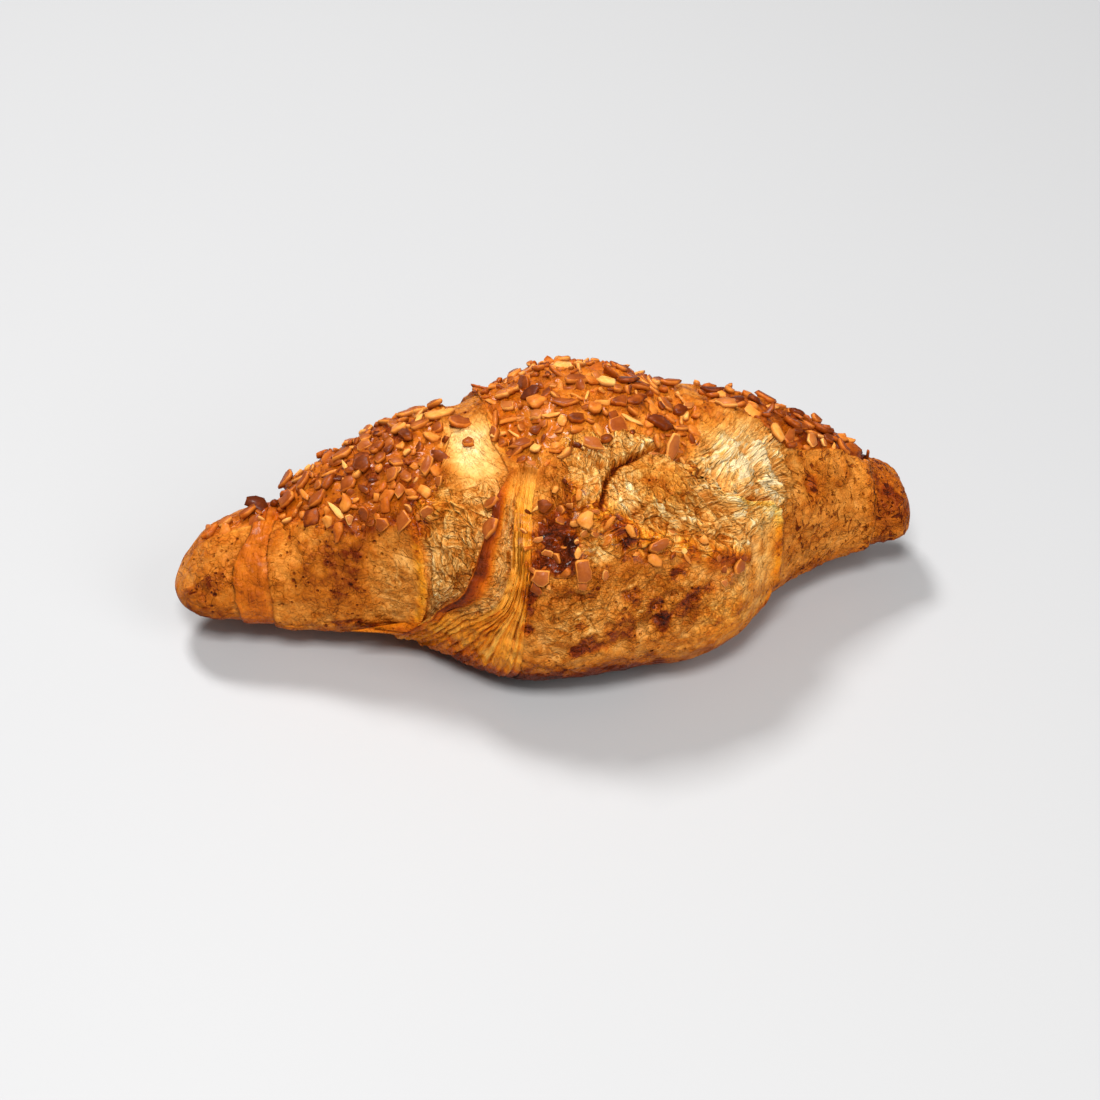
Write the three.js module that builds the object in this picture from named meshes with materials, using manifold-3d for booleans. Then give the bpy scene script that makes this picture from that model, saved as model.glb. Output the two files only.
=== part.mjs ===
// A croissant topped with chopped almonds, built in millimetres with +Z up.
//
// The pastry is one baked piece. Its outside is a loft through stations along +X, from the left horn
// to the right horn, and every station has a five-number outline. The rolled dough shows as wraps:
// each wrap's edge runs round the body as a curve, and the surface steps up there towards the belly.
// The almond pieces are separate solids that lie on the crust.
import * as THREE from "three";
import { mergeVertices } from "three/addons/utils/BufferGeometryUtils.js";
import Module from "manifold-3d";

const wasm = await Module();
wasm.setup();

// ---- driving dimensions -------------------------------------------------------------------------
const LEFT_END = -94; // x of the left tip
const RIGHT_END = 97; // x of the right tip, so the croissant is 191 mm long
const LEFT_CAP = 12; // length over which the blunt left tip rounds off
const RIGHT_CAP = 6; // the same for the right tip
const AROUND = 48; // facets round the body
const WIDEST_AT = 0.42; // share of the height at which a section is widest
const BASE_DEPTH = 20; // thickness of the block that cuts the flat resting face
const ALMOND_GAP = 0.35; // clearance between an almond piece and what it lies on
const ALMOND_THICK = 1.5; // thickness of a flake or nib
const ALMOND_BEVEL = 0.3; // rounding of its edges
const LIFT_STEP = 0.25; // how far a piece is raised at a time until it is clear
const SCATTERED = 12; // small nibs that fill in between the larger pieces

// x, height of the ridge, height of the underside, reach to the front (-Y), reach to the back (+Y)
// and y of the middle line. The underside dips below 0 under the belly, where it is cut flat.
const STATIONS = [
  [LEFT_END, 19, 10, 14.5, 12, 5.5],
  [-84, 27, 8.3, 13.6, 16, 5],
  [-72, 31.5, 7, 15.6, 20, 4.5],
  [-66, 32.2, 5.8, 17, 21, 4.2],
  [-61, 37.5, 5, 18, 24, 4],
  [-54, 43, 4, 19.5, 27, 3],
  [-42, 50, 3.6, 21, 31, 2],
  [-30, 55, 0.5, 28.5, 35, 1],
  [-19, 55.5, -1, 38.5, 38.5, -0.5],
  [-8, 60.5, -2, 42.5, 42.5, -1.5],
  [4, 65, -2, 43.5, 45, -2],
  [18, 63.3, -2, 42.3, 44.5, -1.5],
  [32, 57.3, -1.5, 40.8, 41, -1],
  [43, 52.6, 0.2, 36.5, 38, 0.5],
  [53, 50.5, 2.6, 26, 33.5, 2],
  [64, 45.5, 4.5, 18.3, 29, 3],
  [75, 38.8, 6.5, 14, 24, 4],
  [85, 30.6, 9, 12.2, 15.5, 4.5],
  [92, 26, 10.6, 12.5, 13.5, 5],
  [RIGHT_END, 24.5, 11, 14, 13.5, 5],
];

// The wraps' edges from left to right. "path" gives x at angles round the body, in degrees: -90 is
// underneath, 0 the front, 90 the top and 180 the back. "rise" is the step in mm, on the side that
// "towards" points to, and "columns" is the number of mesh columns from the edge before to this one.
const EDGES = [
  {
    name: "left_tip",
    rise: 0.8,
    towards: 1,
    columns: 7,
    path: [[-90, -77], [-15, -78.5], [10, -79.4], [40, -79.6], [60, -78], [80, -74.5], [100, -72.5],
      [140, -73], [200, -75], [270, -77]],
  },
  {
    name: "left_band",
    rise: 1.2,
    towards: 1,
    columns: 3,
    path: [[-90, -69], [-12, -70.5], [18, -70.8], [45, -71], [70, -70], [100, -66.5], [150, -63],
      [210, -66], [270, -69]],
  },
  {
    name: "left_strand",
    rise: 1.2,
    towards: -1,
    columns: 11,
    path: [[-90, -42], [-35, -38], [-15, -35.3], [15, -33.4], [38, -34.3], [52, -34], [65, -30],
      [85, -25], [105, -22], [160, -26], [220, -34], [270, -42]],
  },
  {
    name: "belly_left",
    rise: 2.8,
    towards: 1,
    columns: 5,
    path: [[-90, -38], [-30, -36], [-12, -33], [3, -29], [13, -25.5], [25, -22.5], [38, -20], [50, -17],
      [60, -14], [75, -12], [108, -13], [150, -16], [200, -23], [270, -38]],
  },
  {
    name: "belly_right",
    rise: 2.8,
    towards: -1,
    columns: 21,
    path: [[-90, 46], [-40, 49], [-20, 51.5], [-5, 54], [15, 55], [30, 53.5], [43, 48], [55, 40],
      [66, 36], [80, 37.5], [110, 43], [150, 47], [200, 48], [270, 46]],
  },
  {
    name: "right_tip",
    rise: 0.9,
    towards: -1,
    columns: 15,
    path: [[-90, 83], [-20, 83.5], [15, 84.5], [50, 84.8], [75, 85], [100, 86], [180, 85], [270, 83]],
  },
];
const LAST_COLUMNS = 5; // columns from the last edge to the right tip

// The larger almond pieces: x and angle of the place, length and width in mm, and the turn of the
// length from the body's long axis in degrees.
const LARGE_ALMONDS = [
  [-84, 106, 6.4, 3.2, 25], [-79.5, 110, 5.6, 3.2, 5], [-73.5, 112, 6.8, 3.4, 12],
  [-59.5, 106, 8.4, 3.8, 40], [-57.5, 82, 6.4, 3.8, 35], [-53.5, 90, 5.2, 4.2, 60],
  [-50.5, 80, 6, 4.6, 20], [-49, 108, 7, 3.8, 20], [-44.8, 87, 6.6, 5.2, 80],
  [-50.5, 64, 6.6, 3.6, 75], [-41, 96, 5.6, 4.2, 10], [-38.5, 71, 5.6, 4.2, 60], [-40, 59, 5.8, 3.6, 15],
  [-42, 42, 5.2, 4.4, 60], [-34.5, 106, 5.8, 5, 70], [-31, 71, 7, 3.6, 85], [-34, 95, 7, 3.2, 120],
  [-29, 101, 6.4, 3, 25], [-26, 109, 9.4, 4, 12], [-21.5, 98, 7, 5.4, 25], [-17.5, 47, 6, 4.8, 80],
  [-15.5, 56, 5, 3.6, 20], [-10.5, 88, 6.2, 3.6, 85], [-2.5, 93, 8.8, 6, 5], [-8, 76, 7, 3.2, 5],
  [-4, 86, 5, 4, 60], [-8.5, 105, 6, 3.6, 20], [-7.5, 27, 5.8, 5.2, 110], [2.5, 26, 6.2, 4.6, 85],
  [-4.5, 51, 5.4, 4.4, 20], [9, 100, 7, 4.6, 15], [17, 98, 7.2, 4.6, 160], [25.5, 101, 9.4, 4, 20],
  [11.5, 82, 5.6, 4.8, 60], [27.5, 82, 8, 6, 10], [7.5, 67, 6.2, 3.8, 150], [18, 88, 5.6, 4, 30],
  [35.5, 92, 5.6, 3.8, 30], [4, 42, 6, 4.6, 30], [21, 33, 6.8, 3.2, 35], [41, 23, 6.2, 3.8, 15],
  [47, 95, 7.8, 4.2, 140], [57, 77, 6.8, 4, 80], [63, 80, 6.4, 3.4, 45], [65, 96, 6.2, 3.8, 150],
  [74.5, 103, 7, 3.8, 165],
];

// ---- outlines -----------------------------------------------------------------------------------

// A smooth curve through [position, value] knots: cubic Hermite with the chord of the two
// neighbours as the slope at each knot.
function curve(knots, at, column = 1) {
  const last = knots.length - 1;
  const place = THREE.MathUtils.clamp(at, knots[0][0], knots[last][0]);
  let i = 0;
  while (i < last - 1 && place > knots[i + 1][0]) i++;
  const slope = (k) => {
    const a = knots[Math.max(k - 1, 0)];
    const b = knots[Math.min(k + 1, last)];
    return (b[column] - a[column]) / (b[0] - a[0]);
  };
  const span = knots[i + 1][0] - knots[i][0];
  const t = (place - knots[i][0]) / span;
  const t2 = t * t;
  const t3 = t2 * t;
  return (
    (2 * t3 - 3 * t2 + 1) * knots[i][column] +
    (t3 - 2 * t2 + t) * span * slope(i) +
    (3 * t2 - 2 * t3) * knots[i + 1][column] +
    (t3 - t2) * span * slope(i + 1)
  );
}

// How much of the section is left near a blunt tip: 1 away from the tips, 0 at them.
function capShare(x) {
  const round = (inside, length) => Math.sqrt(Math.max(0, 1 - Math.max(0, 1 - inside / length) ** 2));
  return round(x - LEFT_END, LEFT_CAP) * round(RIGHT_END - x, RIGHT_CAP);
}

// The steps of the wraps: just past an edge the dough stands proud, then it sinks back into the
// outline, and just short of the edge there is a shallow groove.
function wrapStep(x, degrees) {
  let sum = 0;
  for (const edge of EDGES) {
    const past = (x - curve(edge.path, degrees)) * edge.towards;
    sum += past >= 0 ? edge.rise * Math.exp(-past / 9) : -0.35 * edge.rise * Math.exp(past / 4);
  }
  return sum;
}

// The point of the crust at x and an angle round the body, in degrees.
function crustPoint(x, degrees) {
  const [ridge, under, front, back, middle] = [1, 2, 3, 4, 5].map((c) => curve(STATIONS, x, c));
  const angle = THREE.MathUtils.degToRad(degrees);
  const power = (value, exponent) => Math.sign(value) * Math.abs(value) ** exponent;
  const share = capShare(x);
  const widest = under + WIDEST_AT * (ridge - under);
  const upper = Math.sin(angle) >= 0;
  const reach = (Math.cos(angle) > 0 ? front : back) + wrapStep(x, degrees);
  const height = upper ? ridge - widest + wrapStep(x, degrees) : widest - under;
  return new THREE.Vector3(
    x,
    middle - reach * share * power(Math.cos(angle), upper ? 0.96 : 0.8),
    widest + height * share * power(Math.sin(angle), upper ? 1 : 0.72),
  );
}

// ---- solids -------------------------------------------------------------------------------------

function toSolid(geometry) {
  const bare = geometry.clone();
  bare.deleteAttribute("normal");
  bare.deleteAttribute("uv");
  const merged = mergeVertices(bare, 1e-4);
  const mesh = new wasm.Mesh({
    numProp: 3,
    vertProperties: new Float32Array(merged.attributes.position.array),
    triVerts: new Uint32Array(merged.index.array),
  });
  return new wasm.Manifold(mesh);
}

function toGeometry(solid) {
  const mesh = solid.getMesh();
  const geometry = new THREE.BufferGeometry();
  geometry.setAttribute("position", new THREE.BufferAttribute(new Float32Array(mesh.vertProperties), 3));
  geometry.setIndex(new THREE.BufferAttribute(new Uint32Array(mesh.triVerts), 1));
  geometry.computeVertexNormals();
  return geometry;
}

// Share of the way along the body, in mesh columns, to the edge that starts each panel.
const PANEL_COLUMNS = [...EDGES.map((edge) => edge.columns), LAST_COLUMNS];
const COLUMNS = PANEL_COLUMNS.reduce((sum, n) => sum + n, 0);

// x of a mesh column at an angle: the columns between two edges spread evenly between them, so that
// every edge is followed by a line of the mesh. They crowd towards the tips, which are round.
function columnX(column, degrees) {
  let first = 0;
  let panel = 0;
  while (panel < PANEL_COLUMNS.length - 1 && column > first + PANEL_COLUMNS[panel]) {
    first += PANEL_COLUMNS[panel];
    panel++;
  }
  const from = panel === 0 ? LEFT_END : curve(EDGES[panel - 1].path, degrees);
  const to = panel === EDGES.length ? RIGHT_END : curve(EDGES[panel].path, degrees);
  let share = (column - first) / PANEL_COLUMNS[panel];
  if (panel === 0) share = share ** 2;
  if (panel === EDGES.length) share = 1 - (1 - share) ** 2;
  return from + (to - from) * share;
}

// The pastry: a lathe's closed grid, bent onto the crust, with its base cut flat.
function makePastry() {
  const profile = Array.from({ length: COLUMNS + 1 }, (_, i) => {
    return new THREE.Vector2(Math.sin((Math.PI * i) / COLUMNS), i);
  });
  profile[0].x = 0;
  profile[COLUMNS].x = 0;
  const lathe = new THREE.LatheGeometry(profile, AROUND);
  const { position, uv } = lathe.attributes;
  for (let i = 0; i < position.count; i++) {
    const degrees = 270 - 360 * (uv.getX(i) % 1);
    const point = crustPoint(columnX(Math.round(uv.getY(i) * COLUMNS), degrees), degrees);
    position.setXYZ(i, point.x, point.y, point.z);
  }
  const below = new THREE.BoxGeometry(3 * RIGHT_END, 3 * RIGHT_END, BASE_DEPTH);
  below.translate(0, 0, -BASE_DEPTH / 2);
  return toSolid(lathe).subtract(toSolid(below));
}

// An almond piece: an uneven polygon with a bevelled edge. The same number gives the same piece.
function almondGeometry(length, width, number) {
  const corners = 5 + (number % 3);
  const outline = new THREE.Shape();
  for (let i = 0; i < corners; i++) {
    const wobble = 0.86 + 0.14 * Math.sin(12.9898 * number + 78.233 * i);
    const turn = (2 * Math.PI * (i + 0.25 * Math.sin(number + 5 * i))) / corners;
    const x = (length / 2 - ALMOND_BEVEL) * wobble * Math.cos(turn);
    const y = (width / 2 - ALMOND_BEVEL) * wobble * Math.sin(turn);
    if (i === 0) outline.moveTo(x, y);
    else outline.lineTo(x, y);
  }
  const geometry = new THREE.ExtrudeGeometry(outline, {
    depth: ALMOND_THICK - 2 * ALMOND_BEVEL,
    bevelThickness: ALMOND_BEVEL,
    bevelSize: ALMOND_BEVEL,
    bevelSegments: 1,
    steps: 1,
  });
  geometry.translate(0, 0, -(ALMOND_THICK - 2 * ALMOND_BEVEL) / 2);
  return geometry;
}

// Puts a mesh on the crust, lying flat, and raises it until it is clear of everything in "placed".
function layOnCrust(mesh, x, degrees, turn, placed) {
  const here = crustPoint(x, degrees);
  const along = crustPoint(x + 2, degrees).sub(crustPoint(x - 2, degrees)).normalize();
  const round = crustPoint(x, degrees + 4).sub(crustPoint(x, degrees - 4)).normalize();
  const out = new THREE.Vector3().crossVectors(along, round).normalize();
  const side = new THREE.Vector3().crossVectors(out, along);
  mesh.quaternion.setFromRotationMatrix(new THREE.Matrix4().makeBasis(along, side, out));
  mesh.rotateZ(THREE.MathUtils.degToRad(turn));
  for (let lift = ALMOND_GAP + ALMOND_THICK / 2; ; lift += LIFT_STEP) {
    mesh.position.copy(here).addScaledVector(out, lift);
    mesh.updateMatrixWorld(true);
    const solid = toSolid(mesh.geometry.clone().applyMatrix4(mesh.matrixWorld));
    if (placed.every((other) => solid.minGap(other, 1) >= ALMOND_GAP)) return solid;
  }
}

// Where the small nibs go: a golden-ratio scatter over the topped strip of the crust.
function* smallAlmonds() {
  const golden = (Math.sqrt(5) - 1) / 2;
  for (let i = 0; i < SCATTERED; i++) {
    const x = -78 + 158 * ((0.37 + i * golden) % 1);
    const degrees = 84 + 46 * ((i + 0.5) / SCATTERED);
    yield [x, degrees, 3.6 + 1.2 * ((i * golden * 3) % 1), 3, (i * 137.5) % 180];
  }
}

// ---- assembly -----------------------------------------------------------------------------------
const crust = new THREE.MeshStandardMaterial({ color: 0xc78a45, roughness: 0.62, metalness: 0 });
const toasted = new THREE.MeshStandardMaterial({ color: 0xa9602a, roughness: 0.5, metalness: 0 });

const croissant = new THREE.Group();
const pastrySolid = makePastry();
const pastry = new THREE.Mesh(toGeometry(pastrySolid), crust);
pastry.name = "pastry";
croissant.add(pastry);

const placed = [pastrySolid];
[...LARGE_ALMONDS, ...smallAlmonds()].forEach(([x, degrees, length, width, turn], i) => {
  const almond = new THREE.Mesh(almondGeometry(length, width, i + 1), toasted);
  almond.name = "almond_" + String(i + 1).padStart(2, "0");
  placed.push(layOnCrust(almond, x, degrees, turn, placed));
  croissant.add(almond);
});

// The origin is under the middle of the whole, on the surface that it rests on.
const bounds = new THREE.Box3().setFromObject(croissant);
const middle = bounds.getCenter(new THREE.Vector3());
croissant.position.set(-middle.x, -middle.y, -bounds.min.z);

export default croissant;
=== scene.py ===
# %% [markdown]
# # A croissant topped with chopped almonds
# A croissant is one piece of dough, rolled up from a long triangle and baked. Its outside is a
# plump body with wraps: each turn of the roll ends in an edge that stands a little proud. This
# lesson builds that crust as one surface from two parameters, scatters almond pieces on it, and
# gives both a baked finish made of nodes.
#
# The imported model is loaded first. It fixes the place and size of everything that follows.

# %% Load the frame
import math
import bpy
import numpy as np
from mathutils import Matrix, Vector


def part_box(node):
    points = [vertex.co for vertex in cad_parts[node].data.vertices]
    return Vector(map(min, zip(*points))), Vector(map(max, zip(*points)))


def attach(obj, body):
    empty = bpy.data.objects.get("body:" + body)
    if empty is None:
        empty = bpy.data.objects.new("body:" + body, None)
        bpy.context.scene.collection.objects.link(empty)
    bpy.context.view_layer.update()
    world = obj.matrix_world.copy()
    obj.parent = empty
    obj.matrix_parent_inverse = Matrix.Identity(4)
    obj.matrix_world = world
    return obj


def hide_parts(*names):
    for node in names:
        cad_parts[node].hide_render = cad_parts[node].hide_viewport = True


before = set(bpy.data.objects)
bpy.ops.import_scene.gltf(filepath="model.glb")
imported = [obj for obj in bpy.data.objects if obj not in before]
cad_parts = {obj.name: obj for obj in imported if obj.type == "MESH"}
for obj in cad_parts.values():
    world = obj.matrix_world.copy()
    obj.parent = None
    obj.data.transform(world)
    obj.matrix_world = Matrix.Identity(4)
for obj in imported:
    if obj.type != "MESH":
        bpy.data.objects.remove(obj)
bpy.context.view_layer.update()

pastry_low, pastry_high = (np.array(corner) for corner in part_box("pastry"))
LEFT_END, RIGHT_END = -94.0, 97.0  # x of the two tips, in the crust's own millimetres
MM = (pastry_high[0] - pastry_low[0]) / (RIGHT_END - LEFT_END)  # one of those millimetres, in metres
almond_nodes = sorted(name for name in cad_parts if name.startswith("almond_"))
print("pastry from", pastry_low.round(4), "to", pastry_high.round(4), "with", len(almond_nodes), "almonds")

# %% [markdown]
# ## The outline
# A loaf's outline changes slowly along its length. It could be sculpted, but a few stations say it
# more clearly: at each one the height of the ridge, the height of the underside, and how far the
# body reaches to the front and to the back. A smooth curve joins the stations.

# %% A smooth curve through knots
def curve(knots, at, column=1):
    """Cubic Hermite curve through [position, value, ...] knots, for a whole array of positions.
    The slope at a knot is the slope of the chord between its two neighbours."""
    knots = np.asarray(knots, float)
    place, value = knots[:, 0], knots[:, column]
    slope = np.empty_like(value)
    slope[1:-1] = (value[2:] - value[:-2]) / (place[2:] - place[:-2])
    slope[0] = (value[1] - value[0]) / (place[1] - place[0])
    slope[-1] = (value[-1] - value[-2]) / (place[-1] - place[-2])
    at = np.clip(at, place[0], place[-1])
    i = np.clip(np.searchsorted(place, at, side="right") - 1, 0, len(place) - 2)
    span = place[i + 1] - place[i]
    t = (at - place[i]) / span
    t2, t3 = t * t, t * t * t
    start = (2 * t3 - 3 * t2 + 1) * value[i] + (t3 - 2 * t2 + t) * span * slope[i]
    return start + (3 * t2 - 2 * t3) * value[i + 1] + (t3 - t2) * span * slope[i + 1]


# x, ridge, underside, reach to the front (-Y), reach to the back (+Y), y of the middle line
STATIONS = [
    [LEFT_END, 19, 10, 14.5, 12, 5.5], [-84, 27, 8.3, 13.6, 16, 5], [-72, 31.5, 7, 15.6, 20, 4.5],
    [-66, 32.2, 5.8, 17, 21, 4.2], [-61, 37.5, 5, 18, 24, 4], [-54, 43, 4, 19.5, 27, 3],
    [-42, 50, 3.6, 21, 31, 2], [-30, 55, 0.5, 28.5, 35, 1], [-19, 55.5, -1, 38.5, 38.5, -0.5],
    [-8, 60.5, -2, 42.5, 42.5, -1.5], [4, 65, -2, 43.5, 45, -2], [18, 63.3, -2, 42.3, 44.5, -1.5],
    [32, 57.3, -1.5, 40.8, 41, -1], [43, 52.6, 0.2, 36.5, 38, 0.5], [53, 50.5, 2.6, 26, 33.5, 2],
    [64, 45.5, 4.5, 18.3, 29, 3], [75, 38.8, 6.5, 14, 24, 4], [85, 30.6, 9, 12.2, 15.5, 4.5],
    [92, 26, 10.6, 12.5, 13.5, 5], [RIGHT_END, 24.5, 11, 14, 13.5, 5],
]
LEFT_CAP, RIGHT_CAP = 12.0, 6.0  # lengths over which the tips round off
WIDEST_AT = 0.42  # share of the height at which a section is widest
ABOVE_POWER, BELOW_POWER = 0.96, 0.8  # of the cosine, above and below the widest place: lower is boxier
UNDER_FLAT = 0.72  # power of the sine underneath: lower makes a flatter underside


def outline(x, degrees):
    """A point of the plain body: an egg-shaped section at x, taken at an angle that is 0 at the
    front, 90 on top, 180 at the back and -90 underneath. Near the tips the section shrinks as
    the square root does, which makes a round end."""
    ridge, under, front, back, middle = (curve(STATIONS, x, c) for c in range(1, 6))
    left = 1 - (np.clip(LEFT_CAP - (x - LEFT_END), 0, LEFT_CAP) / LEFT_CAP) ** 2
    right = 1 - (np.clip(RIGHT_CAP - (RIGHT_END - x), 0, RIGHT_CAP) / RIGHT_CAP) ** 2
    share = np.sqrt(np.clip(left, 0, 1)) * np.sqrt(np.clip(right, 0, 1))
    widest = under + WIDEST_AT * (ridge - under)
    cos, sin = np.cos(np.radians(degrees)), np.sin(np.radians(degrees))
    upper = sin >= 0
    reach = np.where(cos > 0, front, back) * share
    height = np.where(upper, ridge - widest, widest - under) * share
    y = middle - reach * np.sign(cos) * np.abs(cos) ** np.where(upper, ABOVE_POWER, BELOW_POWER)
    z = widest + height * np.sign(sin) * np.abs(sin) ** np.where(upper, 1.0, UNDER_FLAT)
    return np.stack([np.broadcast_to(x, y.shape), y, z], -1)


# %% [markdown]
# ## The edges of the wraps
# Where one turn of the dough ends, its edge stands up from the turn below and slightly hangs over
# it. A plain bump can't hang over, so each edge becomes a line of the mesh: on one side of the line
# the surface is raised, on the other it is sunk and tucked underneath. Each edge's path gives x,
# and how strongly the edge shows, at angles round the body. Rise, groove and over are in mm: how far
# the rim stands up, how deep the dough beside it is sunk, and how far the rim hangs over.

# %% Edges from left to right
EDGES = {
    "left_tip": dict(
        towards=1, rise=0.5, fade=5, groove=0.35, over=0.1,
        path=[[-90, -77, 1], [-15, -78.5, 1], [10, -79.4, 1], [40, -79.6, 1], [60, -78, 1], [80, -74.5, 1],
              [100, -72.5, 1], [140, -73, 1], [200, -75, 1], [270, -77, 1]]),
    "left_band": dict(
        towards=1, rise=0.6, fade=7, groove=0.3, over=0.1,
        path=[[-90, -69, 1], [-12, -70.5, 1], [18, -70.8, 1], [45, -71, 1], [70, -70, 1], [100, -66.5, 1],
              [150, -63, 1], [210, -66, 1], [270, -69, 1]]),
    "left_strand": dict(
        towards=-1, rise=1.3, fade=1.1, groove=0.5, over=0.3,
        path=[[-90, -42, 0.6], [-35, -38, 0.8], [-15, -35.3, 1], [0, -33.6, 1], [15, -33.4, 1],
              [38, -34.3, 1], [52, -34.6, 0.8], [62, -31, 0.4], [80, -26, 0.15], [105, -22, 0.3],
              [160, -26, 1], [220, -34, 1], [270, -42, 0.6]]),
    "fan_left": dict(
        towards=1, rise=2.1, fade=2.6, groove=1.4, over=0.7,
        path=[[-90, -43, 0.7], [-30, -39, 0.8], [-12, -35, 0.8], [3, -29.5, 1], [13, -25.5, 1],
              [25, -22.5, 1], [38, -20, 1], [50, -17, 1], [60, -14.2, 0.9], [67, -11.5, 0.6],
              [75, -12.5, 0.25], [88, -14, 0.1], [108, -13, 0.1], [150, -16, 0.7], [200, -24, 1],
              [270, -43, 0.7]]),
    "fan_middle": dict(
        towards=1, rise=1.2, fade=2.4, groove=0.7, over=0.25,
        path=[[-90, -38, 0.3], [-30, -32, 0.6], [-3, -26, 0.8], [8, -20.5, 1], [17, -16, 1], [30, -13, 1],
              [45, -11.5, 1], [58, -10, 0.9], [67, -8, 0.5], [76, -7, 0], [108, -8, 0], [200, -19, 0],
              [270, -38, 0.3]]),
    "fan_right": dict(
        towards=1, rise=0.3, fade=2, groove=0.2, over=0,
        path=[[-90, -20, 0], [-25, -13.5, 1], [0, -12.6, 1], [30, -10, 1], [50, -8, 1], [60, -6.5, 0.6],
              [70, -4.5, 0], [108, -4, 0], [200, -10, 0], [270, -20, 0]]),
    "belly_lip": dict(
        towards=-1, rise=2.2, fade=6, groove=1.8, over=1.0,
        path=[[-90, 46, 0.3], [-40, 49, 0.4], [-20, 51.5, 0.6], [-5, 54, 0.9], [10, 55, 1], [22, 55.3, 1],
              [32, 54.4, 1], [38, 52.3, 1], [43, 48.8, 0.9], [49, 43.5, 0.65], [55, 38.5, 0.4],
              [61, 35.2, 0.15], [66, 34.2, 0.05], [70, 35, 0], [90, 40, 0], [120, 45, 0], [150, 47, 0.6],
              [200, 48, 1], [270, 46, 0.5]]),
    "right_tip": dict(
        towards=-1, rise=0.8, fade=5, groove=0.6, over=0.25,
        path=[[-90, 83, 1], [-20, 83.5, 1], [15, 84.5, 1], [50, 84.8, 1], [75, 85, 1], [100, 86, 1],
              [180, 85, 1], [270, 83, 1]]),
}
PANEL_COLUMNS = [26, 18, 56, 32, 26, 42, 98, 56, 24]  # mesh columns from each edge to the next
ROWS = 258  # mesh rows round the body
FRONT_ROWS = (-48, 128)  # the angles between which the rows lie twice as close
SINK_FADE = 4.0  # how far the groove beside an edge reaches
LIP_ROUND = 0.7  # rounding of a raised edge
TUCK = 0.5  # how far the lower dough runs under a raised edge

# %% [markdown]
# ## Noise
# Baked dough is never even. All of its irregularity comes from two kinds of fixed noise, computed
# on whole arrays of points: smooth noise for swellings and stains, and cell noise for blisters and
# pores. The numbers come from a hash of the lattice corner, so every run gives the same crust.

# %% Smooth noise and cell noise
def lattice(corner, seed):
    """A number from 0 to 1 for each whole-number corner of space: its coordinates are multiplied
    by large primes, mixed, and the low bits are kept."""
    mixed = (corner * np.array([73856093, 19349663, 83492791])).sum(-1) + seed * 2654435761
    mixed = (mixed ^ (mixed >> 13)) & 0x7FFFFFFF
    mixed = (mixed * 1274126177) & 0x7FFFFFFFFFFFFFF
    return ((mixed ^ (mixed >> 16)) & 0xFFFFFF) / 0xFFFFFF


CORNERS = np.array([[i, j, k] for i in (0, 1) for j in (0, 1) for k in (0, 1)])


def smooth_noise(points, size, seed):
    """Smooth noise from 0 to 1: the corner numbers of the lattice cell, blended by smoothsteps."""
    scaled = points / size
    cell = np.floor(scaled).astype(np.int64)
    t = scaled - cell
    t = t * t * (3 - 2 * t)
    total = np.zeros(points.shape[:-1])
    for corner in CORNERS:
        weight = np.where(corner == 1, t, 1 - t).prod(-1)
        total += weight * lattice(cell + corner, seed)
    return total


def rough_noise(points, size, seed, octaves=3):
    """Sum of smooth noises, each half the size and half the strength of the one before."""
    parts = [smooth_noise(points, size / 2**i, seed + i) / 2**i for i in range(octaves)]
    return sum(parts) / sum(0.5**i for i in range(octaves))


def ridge_noise(points, size, seed, octaves=2):
    """Crests: 1 where the smooth noise crosses its middle, and 0 at its extremes."""
    parts = [(1 - np.abs(2 * smooth_noise(points, size / 2**i, seed + i) - 1)) / 2**i for i in range(octaves)]
    return sum(parts) / sum(0.5**i for i in range(octaves))


def cell_noise(points, size, seed):
    """Distance to the nearest of one jittered point per lattice cell, in cells, that cell's own
    number, and its lean: a plane through its point that tilts its own way, like a shard."""
    scaled = points / size
    cell = np.floor(scaled).astype(np.int64)
    nearest = np.full(points.shape[:-1], 9.0)
    number = np.zeros(points.shape[:-1])
    lean = np.zeros(points.shape[:-1])
    for step in np.ndindex(3, 3, 3):
        near = cell + np.array(step) - 1
        jitter = np.stack([lattice(near, seed + axis) for axis in range(3)], -1)
        offset = scaled - near - jitter
        distance = np.linalg.norm(offset, axis=-1)
        tilt = ((jitter[..., ::-1] - 0.5) * offset).sum(-1)
        closer = distance < nearest
        number = np.where(closer, lattice(near, seed + 7), number)
        lean = np.where(closer, tilt, lean)
        nearest = np.minimum(nearest, distance)
    return nearest, number, lean


# %% [markdown]
# ## The grid
# The crust is a function of two parameters: a column along the body and an angle round it. Columns
# are spread between the edges, so that each edge is followed exactly, and each edge has two columns,
# one for its upper rim and one for the dough below it. Rows lie closer at the front and on top,
# where the crust has most to show.

# %% Lay out rows and columns
def row_angles():
    """Angles round the body: the inverse of a running sum whose step is 1 at the front and top and
    one half elsewhere."""
    fine = np.linspace(-90, 270, 3601)
    weight = np.where((fine > FRONT_ROWS[0]) & (fine < FRONT_ROWS[1]), 1.0, 0.5)
    running = np.concatenate([[0], np.cumsum(weight[1:])])
    return np.interp(np.arange(ROWS) / ROWS * running[-1], running, fine)


angles = row_angles()
edge_names = list(EDGES)
edge_x = {}
edge_strength = {}
for number, (name, edge) in enumerate(EDGES.items()):
    around = np.stack([np.cos(np.radians(angles)), np.sin(np.radians(angles)), 0 * angles + number], -1)
    waver = rough_noise(around * 30, 5, 40 + number) - 0.5
    edge_x[name] = curve(edge["path"], angles) + 0.9 * waver
    edge_strength[name] = np.clip(curve(edge["path"], angles, 2), 0, 1) * (0.75 + 0.8 * (waver + 0.3))


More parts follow.
